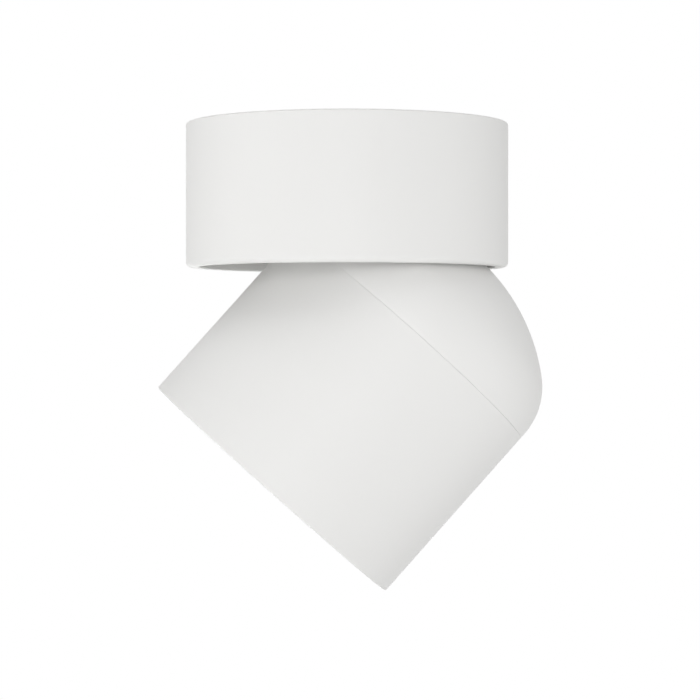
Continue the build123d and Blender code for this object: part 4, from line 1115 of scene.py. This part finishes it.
@dataclass
class HeadShells:
    """The white dome with the arm's slot, the barrel and the front ring.

    Heights are over the tilt pivot, along the head's axis, and the front is below 0.
    """

    radius: float = 52.0
    wall: float = 2.2
    front: float = -38.7
    front_round: float = 0.5
    inner_round: float = 0.2
    dome_radius: float = math.hypot(50.5, 46.7) - 1.78
    shoulder: float = 24.0
    land: float = 2.0
    seam: float = 0.05
    edge_break: float = 0.04
    spigot_radius: float = 49.7
    spigot_bore: float = 47.7
    spigot_length: float = 6.0
    slot_half: float = 6.5
    slot_angles: Point = (3.9, -54.05)
    slot_corner: float = 1.0
    slot_steps: int = 48
    slot_past: float = 5.0
    boss_count: int = 3
    boss_start: float = 90.0
    boss_circle: float = 40.0
    boss_radius: float = 4.5
    boss_hole: float = 1.5
    boss_hole_depth: float = 8.0
    boss_heights: Point = (20.0, 50.0)
    bezel_radius: float = 49.75
    bezel_bore: float = 45.55
    bezel_wall: float = 1.9
    bezel_lip: float = 1.2
    bezel_front: float = -38.3
    bezel_rounds: tuple[float, ...] = (0.15, 0.0, 0.0, 0.1, 0.3, 0.4)
    gasket_front: float = -33.8
    grip_count: int = 4
    grip_start: float = 45.0
    grip_radius: float = 0.9
    grip_depth: float = 0.6
    grip_past: float = 1.0
    grip_outset: float = 0.3

    @property
    def shoulder_r(self) -> float:
        """Radius of the shoulder arc's centre."""
        return self.radius - self.shoulder

    @property
    def shoulder_u(self) -> float:
        """Height of the shoulder arc's centre."""
        return math.sqrt((self.dome_radius - self.shoulder) ** 2 - self.shoulder_r**2)

    @property
    def shoulder_turn(self) -> float:
        """Angle over the radial direction at which the shoulder meets the dome."""
        return math.acos(self.shoulder_r / (self.dome_radius - self.shoulder))

    @property
    def seam_u(self) -> float:
        """Height of the seam's middle."""
        return self.shoulder_u - self.land

    def dome_outline(self) -> list[Point]:
        """Runs from the dome's top down its outside, round the spigot and up its inside.

        Returns:
            The outline's points.
        """
        turn = math.degrees(self.shoulder_turn)
        low, bottom = self.seam_u + self.seam / 2, self.seam_u - self.spigot_length
        centre = (self.shoulder_r, self.shoulder_u)
        edge = (self.radius - self.edge_break, low + self.edge_break)
        inset = self.shoulder - self.wall
        begin = math.degrees(math.acos((self.spigot_bore - self.shoulder_r) / inset))
        crown, inner = self.dome_radius, self.dome_radius - self.wall
        return [
            (0.0, crown),
            *arc((0.0, 0.0), crown, 90.0, turn, 40)[1:-1],
            *arc(centre, self.shoulder, turn, 0.0, 28),
            *arc(edge, self.edge_break, 0, -90, 3),
            (self.spigot_radius, low),
            (self.spigot_radius, bottom),
            (self.spigot_bore, bottom),
            *arc(centre, inset, begin, turn, 14)[:-1],
            *arc((0.0, 0.0), inner, turn, 90.0, 30)[:-1],
            (0.0, inner),
        ]

    def slot_half_at(self, away: float) -> float:
        """Half the slot's width, which its rounded corners narrow.

        Args:
            away: distance from the slot's nearer end.

        Returns:
            Half the width there.
        """
        corner = max(0.0, self.slot_corner - away)
        rounding = math.sqrt(max(0.0, self.slot_corner**2 - corner**2))
        return self.slot_half - self.slot_corner + rounding

    def slot_cutter(self) -> bpy.types.Mesh:
        """Fills the space of the arm's travel: a sector about the pivot with rounded ends.

        Returns:
            The sector's mesh.
        """
        first, last = (math.radians(angle) for angle in self.slot_angles)
        inner, outer = self.dome_radius - self.shoulder, self.dome_radius + self.slot_past
        work = bmesh.new()
        rows = []
        for step in range(self.slot_steps + 1):
            angle = first + (last - first) * step / self.slot_steps
            share = min(step, self.slot_steps - step) / self.slot_steps
            half = self.slot_half_at(share * abs(last - first) * self.dome_radius) * MM
            rows.append(
                [
                    work.verts.new((r * MM * math.sin(angle), side * half, r * MM * math.cos(angle)))
                    for r in (inner, outer)
                    for side in (-1, 1)
                ]
            )
        for a, b in zip(rows, rows[1:]):
            for i, j in ((0, 1), (1, 3), (3, 2), (2, 0)):
                work.faces.new((a[i], a[j], b[j], b[i]))
        for row in (rows[0], rows[-1]):
            work.faces.new((row[0], row[1], row[3], row[2]))
        bmesh.ops.recalc_face_normals(work, faces=work.faces)
        return mesh_of(work, "slot")

    def wall_middle(self, radius: float) -> float:
        """Height of the middle of the dome's wall.

        Args:
            radius: distance from the dome's axis.

        Returns:
            The height there.
        """
        crown = self.dome_radius - self.wall / 2
        if radius < crown * math.cos(self.shoulder_turn):
            return math.sqrt(crown**2 - radius**2)
        rise = (self.shoulder - self.wall / 2) ** 2 - (radius - self.shoulder_r) ** 2
        return self.shoulder_u + math.sqrt(max(0.0, rise))

    def dome(self, shop: Workshop) -> bpy.types.Mesh:
        """Cuts the dome by the slot and gives it three inner bosses that end in its wall.

        Args:
            shop: the workshop.

        Returns:
            The dome's mesh.
        """
        shell = shop.turned(self.dome_outline(), COAT, segments=288, closed=False)
        shell = shop.cut(shell, self.slot_cutter())
        low, high = self.boss_heights
        outline = boss_outline(self.boss_hole, self.boss_hole_depth, self.boss_radius, low, high)
        sleeve = shop.turned(outline, COAT, segments=40, closed=False)
        bosses = shop.ringed(sleeve, self.boss_count, self.boss_circle, self.boss_start, COAT)
        for vertex in bosses.vertices:
            if vertex.co.z > (low + high) / 2 * MM:
                radius = math.hypot(vertex.co.x, vertex.co.y) / MM
                vertex.co.z = self.wall_middle(radius) * MM
        return joined(shell, bosses)

    def barrel_outline(self) -> list[Point]:
        """Draws the section of the barrel's wall.

        Returns:
            The outline's points.
        """
        top, inner = self.seam_u - self.seam / 2, self.radius - self.wall
        corners = [(self.radius, self.front), (self.radius, top), (inner, top), (inner, self.front)]
        return rounded(corners, [self.front_round, self.edge_break, self.edge_break, self.inner_round])

    def bezel_outline(self) -> list[Point]:
        """Draws the front ring's section.

        Returns:
            The outline's points.
        """
        skirt, lip = self.bezel_radius - self.bezel_wall, self.bezel_front + self.bezel_lip
        corners = [
            (self.bezel_bore, lip),
            (skirt, lip),
            (skirt, self.gasket_front),
            (self.bezel_radius, self.gasket_front),
            (self.bezel_radius, self.bezel_front),
            (self.bezel_bore, self.bezel_front),
        ]
        return rounded(corners, self.bezel_rounds)

    def bezel(self, shop: Workshop) -> bpy.types.Mesh:
        """Turns the front ring and drills the grip holes that a pin key turns it by.

        Args:
            shop: the workshop.

        Returns:
            The ring's mesh.
        """
        ring = shop.turned(self.bezel_outline(), COAT)
        low, high = self.bezel_front - self.grip_past, self.bezel_front + self.grip_depth
        hole = bar(self.grip_radius, low, high, sides=24)
        circle = (self.bezel_radius + self.bezel_bore) / 2 + self.grip_outset
        return shop.cut(ring, shop.ringed(hole, self.grip_count, circle, self.grip_start, COAT))

    def build(self, shop: Workshop) -> None:
        """Makes the head's three white pieces.

        Args:
            shop: the workshop.
        """
        barrel = shop.turned(self.barrel_outline(), COAT)
        shop.piece("head_dome", moved(self.dome(shop), HEAD_PLACE), Body.HEAD, COAT, ["rear_dome"])
        shop.piece("head_tube", moved(barrel, HEAD_PLACE), Body.HEAD, COAT, ["head_barrel"])
        shop.piece("front_ring", moved(self.bezel(shop), HEAD_PLACE), Body.HEAD, COAT, ["front_bezel"])


@dataclass
class Optics:
    """What is seen in the head's mouth: glass, stepped baffle, faceted reflector, light source.

    Heights are over the tilt pivot, along the head's axis, and the front is below 0.
    """

    glass_radius: float = 46.45
    glass_round: float = 0.3
    glass_heights: Point = (-33.0, -31.0)
    baffle_outer: float = 47.8
    baffle_heights: Point = (-37.1, -33.8)
    baffle_opening: float = 38.0
    baffle_steps: int = 4
    bezel_bore: float = 45.55
    step_nose: float = 0.15
    step_root: float = 0.05
    throat: float = 9.2
    throat_u: float = -18.0
    mouth: float = 38.2
    rim: float = 43.75
    reflector_wall: float = 0.8
    bulge: float = 3.2
    facets: int = 36
    facet_rows: int = 8
    emitter_radius: float = 7.2
    emitter_heights: Point = (-15.8, -15.3)
    emitter_rise: float = 0.12
    emitter_points: int = 12

    def glass_outline(self) -> list[Point]:
        """Draws half of the glass's section, from axis to axis.

        Returns:
            The outline's points.
        """
        low, high = self.glass_heights
        corners = [(0.0, low), (self.glass_radius, low), (self.glass_radius, high), (0.0, high)]
        return rounded(corners, [0.0, self.glass_round, self.glass_round, 0.0], steps=4)

    def baffle_outline(self) -> list[Point]:
        """Draws the stepped ring's section, each step's nose a little rounded.

        Returns:
            The outline's points.
        """
        low, high = self.baffle_heights
        depth = (high - low) / self.baffle_steps
        width = (self.bezel_bore - self.baffle_opening) / self.baffle_steps
        corners = [(self.baffle_outer, low), (self.baffle_outer, high), (self.baffle_opening, high)]
        radii = [0.0, 0.0, 0.0]
        for step in range(self.baffle_steps):
            radius = self.baffle_opening + step * width
            level = high - (step + 1) * depth
            corners += [(radius, level), (radius + width, level)]
            radii += [self.step_nose, self.step_root]
        radii[-1] = 0.0
        return rounded(corners, radii, steps=3)

    def bowl(self, wall: float, low: float, high: float, rows: int) -> list[Point]:
        """Points of the bowl's arc, drawn out by a wall, between two heights.

        Args:
            wall: distance outwards from the mirror face.
            low: height at the arc's first point.
            high: height at its last point.
            rows: how many steps it has.

        Returns:
            The arc's points.
        """
        ends = np.array([[self.throat, self.throat_u], [self.mouth, self.glass_heights[1]]])
        middle = ends.mean(axis=0) + np.array([self.bulge, 0.0])
        pull = ends - middle
        offset = np.linalg.solve(pull, (pull**2).sum(axis=1) / 2)
        centre, radius = middle + offset, float(np.hypot(*offset)) + wall
        start, end = (math.asin((u - centre[1]) / radius) for u in (low, high))
        return [
            (centre[0] + radius * math.cos(a), centre[1] + radius * math.sin(a))
            for a in np.linspace(start, end, rows + 1)
        ]

    def reflector_outline(self) -> list[Point]:
        """Draws the bowl's section with its flat rim.

        Returns:
            The outline's points.
        """
        face_u = self.glass_heights[1]
        rim_u = face_u + self.reflector_wall
        face = self.bowl(0.0, self.throat_u, face_u, self.facet_rows)
        back = self.bowl(self.reflector_wall, rim_u, self.throat_u, self.facet_rows)
        return [*face, (self.rim, face_u), (self.rim, rim_u), *back]

    def emitter_outline(self) -> list[Point]:
        """Draws half of the phosphor's section, a low dome over its dam.

        Returns:
            The outline's points.
        """
        low, high = self.emitter_heights
        radius, rise = self.emitter_radius, self.emitter_rise
        turns = np.linspace(math.pi / 2, 0.0, self.emitter_points)[1:]
        dome = [(radius * math.cos(a), low + rise * (1 - math.sin(a))) for a in turns]
        return [(0.0, low), *dome, (radius, high), (0.0, high)]

    def build(self, shop: Workshop) -> None:
        """Makes the optical pieces.

        Args:
            shop: the workshop.
        """
        head, flat = Body.HEAD, Shading.FLAT
        glass = shop.turned(self.glass_outline(), "clear_glass", segments=192, closed=False)
        shop.piece("front_lens", moved(glass, HEAD_PLACE), head, "clear_glass", ["front_glass"])
        baffle = shop.turned(self.baffle_outline(), "black_plastic")
        shop.piece("baffle_steps", moved(baffle, HEAD_PLACE), head, "black_plastic", ["baffle_ring"])
        bowl = moved(shop.turned(self.reflector_outline(), "reflector_metal", self.facets), HEAD_PLACE)
        shop.piece("reflector_facets", bowl, head, "reflector_metal", ["reflector"], flat)
        chip = shop.turned(self.emitter_outline(), "phosphor", segments=96, closed=False)
        shop.piece("light_emitter", moved(chip, HEAD_PLACE), head, "phosphor", ["led_emitter"])


# ---- Studio ---------------------------------------------------------------------------------
@dataclass(frozen=True)
class Lamp:
    """A square soft light that faces the object."""

    name: str
    toward: Direction
    watts: float
    in_reflections: bool = True


LAMPS = (
    Lamp("soft_front", (-0.10, -1.0, 0.0), 2.45),
    Lamp("soft_left", (-0.95, -0.30, 0.0), 1.9),
    Lamp("soft_right", (0.85, -0.50, -0.1), 2.5),
    Lamp("soft_back", (0.0, 0.9, -0.35), 5.0, in_reflections=False),
    Lamp("soft_low", (-0.6, -0.25, -0.75), 1.7),
    Lamp("soft_top", (-0.3, -0.35, 1.0), 1.5),
)


@dataclass
class Studio:
    """A white studio: even light, soft lamps, a pale floor and the camera."""

    azimuth: float = math.radians(3.7)
    distance: float = 0.8158
    aside: float = 0.001
    camera_height: float = -0.0771
    lens: float = 122.64
    sensor: float = 36.0
    clip: Point = (0.05, 20.0)
    world_strength: float = 0.32
    floor_height: float = -1.1
    floor_half: float = 3.0
    floor_thickness: float = 0.01
    floor_colour: Colour = (0.9, 0.9, 0.9)
    floor_roughness: float = 0.8
    floor_glow: float = 1.1
    floor_glow_share: float = 0.9
    lamp_size: float = 0.55
    lamp_distance: float = 0.9
    lamp_target: Direction = (0.0, 0.0, -0.08)

    def light(self, lamp: Lamp) -> None:
        """Sets up a lamp.

        Args:
            lamp: its name, direction and power.
        """
        data = bpy.data.lights.new(lamp.name, "AREA")
        data.shape, data.size, data.energy = "SQUARE", self.lamp_size, lamp.watts
        made = bpy.data.objects.new(lamp.name, data)
        bpy.context.scene.collection.objects.link(made)
        centre = Vector(self.lamp_target)
        made.location = centre + Vector(lamp.toward).normalized() * self.lamp_distance
        made.rotation_euler = (centre - made.location).to_track_quat("-Z", "Y").to_euler()
        made.visible_glossy = lamp.in_reflections

    def world(self) -> None:
        """White as seen by the camera, and an even soft light on the object."""
        world = bpy.data.worlds.new("studio")
        bpy.context.scene.world = world
        world.use_nodes = True
        nodes = Nodes(world.node_tree)
        background = nodes.tree.nodes["Background"].inputs
        strength = nodes.ramp(nodes.seen_plainly(), self.world_strength, 1.0)
        nodes.feed(background["Strength"], strength)
        nodes.feed(background["Color"], WHITE)

    def floor(self) -> None:
        """A wide pale floor under the object, white to the camera but for the soft shadow."""
        side, top = self.floor_half / MM, self.floor_height / MM
        mesh = block((-side, side), (-side, side), (top - self.floor_thickness / MM, top))
        made = bpy.data.objects.new("floor", mesh)
        bpy.context.scene.collection.objects.link(made)
        shader = Shader("floor")
        shader.set(Base_Color=self.floor_colour, Roughness=self.floor_roughness)
        shining = {"Color": WHITE, "Strength": self.floor_glow}
        glow = shader.node("ShaderNodeEmission", {}, shining).outputs[0]
        share = shader.seen_plainly() * self.floor_glow_share
        parts = [share, shader.surface.outputs[0], glow]
        mix = shader.node("ShaderNodeMixShader", {}, parts).outputs[0]
        shader.feed(shader.tree.nodes["Material Output"].inputs["Surface"], mix)
        mesh.materials.append(shader.material)

    def camera(self) -> None:
        """The photograph's level view, a little from the left."""
        data = bpy.data.cameras.new("camera")
        data.lens, data.sensor_width = self.lens, self.sensor
        data.clip_start, data.clip_end = self.clip
        made = bpy.data.objects.new("camera", data)
        bpy.context.scene.collection.objects.link(made)
        back = Vector((-math.sin(self.azimuth), -math.cos(self.azimuth), 0.0))
        right = Vector((math.cos(self.azimuth), -math.sin(self.azimuth), 0.0))
        level = Vector((0.0, 0.0, self.camera_height))
        made.location = back * self.distance + right * self.aside + level
        made.rotation_euler = (-back).to_track_quat("-Z", "Y").to_euler()
        bpy.context.scene.camera = made

    def build(self) -> None:
        """Sets up the whole studio."""
        self.world()
        self.floor()
        for lamp in LAMPS:
            self.light(lamp)
        self.camera()
        bpy.context.scene.view_settings.view_transform = "Standard"


# ---- Solids that keep their shape, with their finishes -------------------------------------
CANOPY_SLOTS = {
    "mounting_plate": "zinc_steel",
    "locking_tabs": "zinc_steel",
    "cable_grommet": "black_rubber",
    "terminal_block": "white_plastic",
    "terminal_screws": "zinc_steel",
    "earth_screw": "brass",
    "locking_screws": "zinc_steel",
    "carrier_plate": "white_powder_coat",
    "carrier_screws": "zinc_steel",
    "stop_pin": "zinc_steel",
    "driver_case": "white_plastic",
    "driver_lid": "white_plastic",
    "driver_board": "circuit_board",
    "driver_components": "components",
    "driver_screws": "zinc_steel",
    "earth_tag_screw": "brass",
    "lamp_lead_canopy": "lead_sheath",
    "glide_washers": "nylon",
}
SWIVEL_SLOTS = {
    "swivel_tube": "brass",
    "swivel_nut": "brass",
    "wave_washer": "zinc_steel",
    "swivel_arm": "zinc_steel",
    "lamp_lead_arm": "lead_sheath",
}
HEAD_SLOTS = {
    "heat_sink": "cast_aluminium",
    "hinge_lug": "zinc_steel",
    "hinge_screws": "zinc_steel",
    "pivot_bolt": "zinc_steel",
    "pivot_nut": "zinc_steel",
    "friction_washers": "fibre",
    "pivot_washers": "zinc_steel",
    "dome_screws": "zinc_steel",
    "thermal_pad": "thermal_pad",
    "led_board": "ceramic_board",
    "led_holder": "white_plastic",
    "holder_screws": "zinc_steel",
    "glass_seat": "cast_aluminium",
    "glass_gasket": "grey_silicone",
    "lamp_lead_head": "lead_sheath",
    "lead_bush": "black_rubber",
}


def main() -> None:
    """Builds the studio and the sub-assemblies in order."""
    logging.basicConfig(level=logging.INFO, format="%(message)s")
    shop = Workshop()
    Studio().build()
    Canopy().build(shop)
    inside = CarriedNodes(Body.CANOPY, CANOPY_SLOTS)
    inside.build(shop)
    Wiring(inside).build(shop)
    CarriedNodes(Body.SWIVEL, SWIVEL_SLOTS).build(shop)
    HeadShells().build(shop)
    CarriedNodes(Body.HEAD, HEAD_SLOTS).build(shop)
    Optics().build(shop)
    LOG.info("%d pieces", shop.count)


if __name__ == "__main__":
    main()
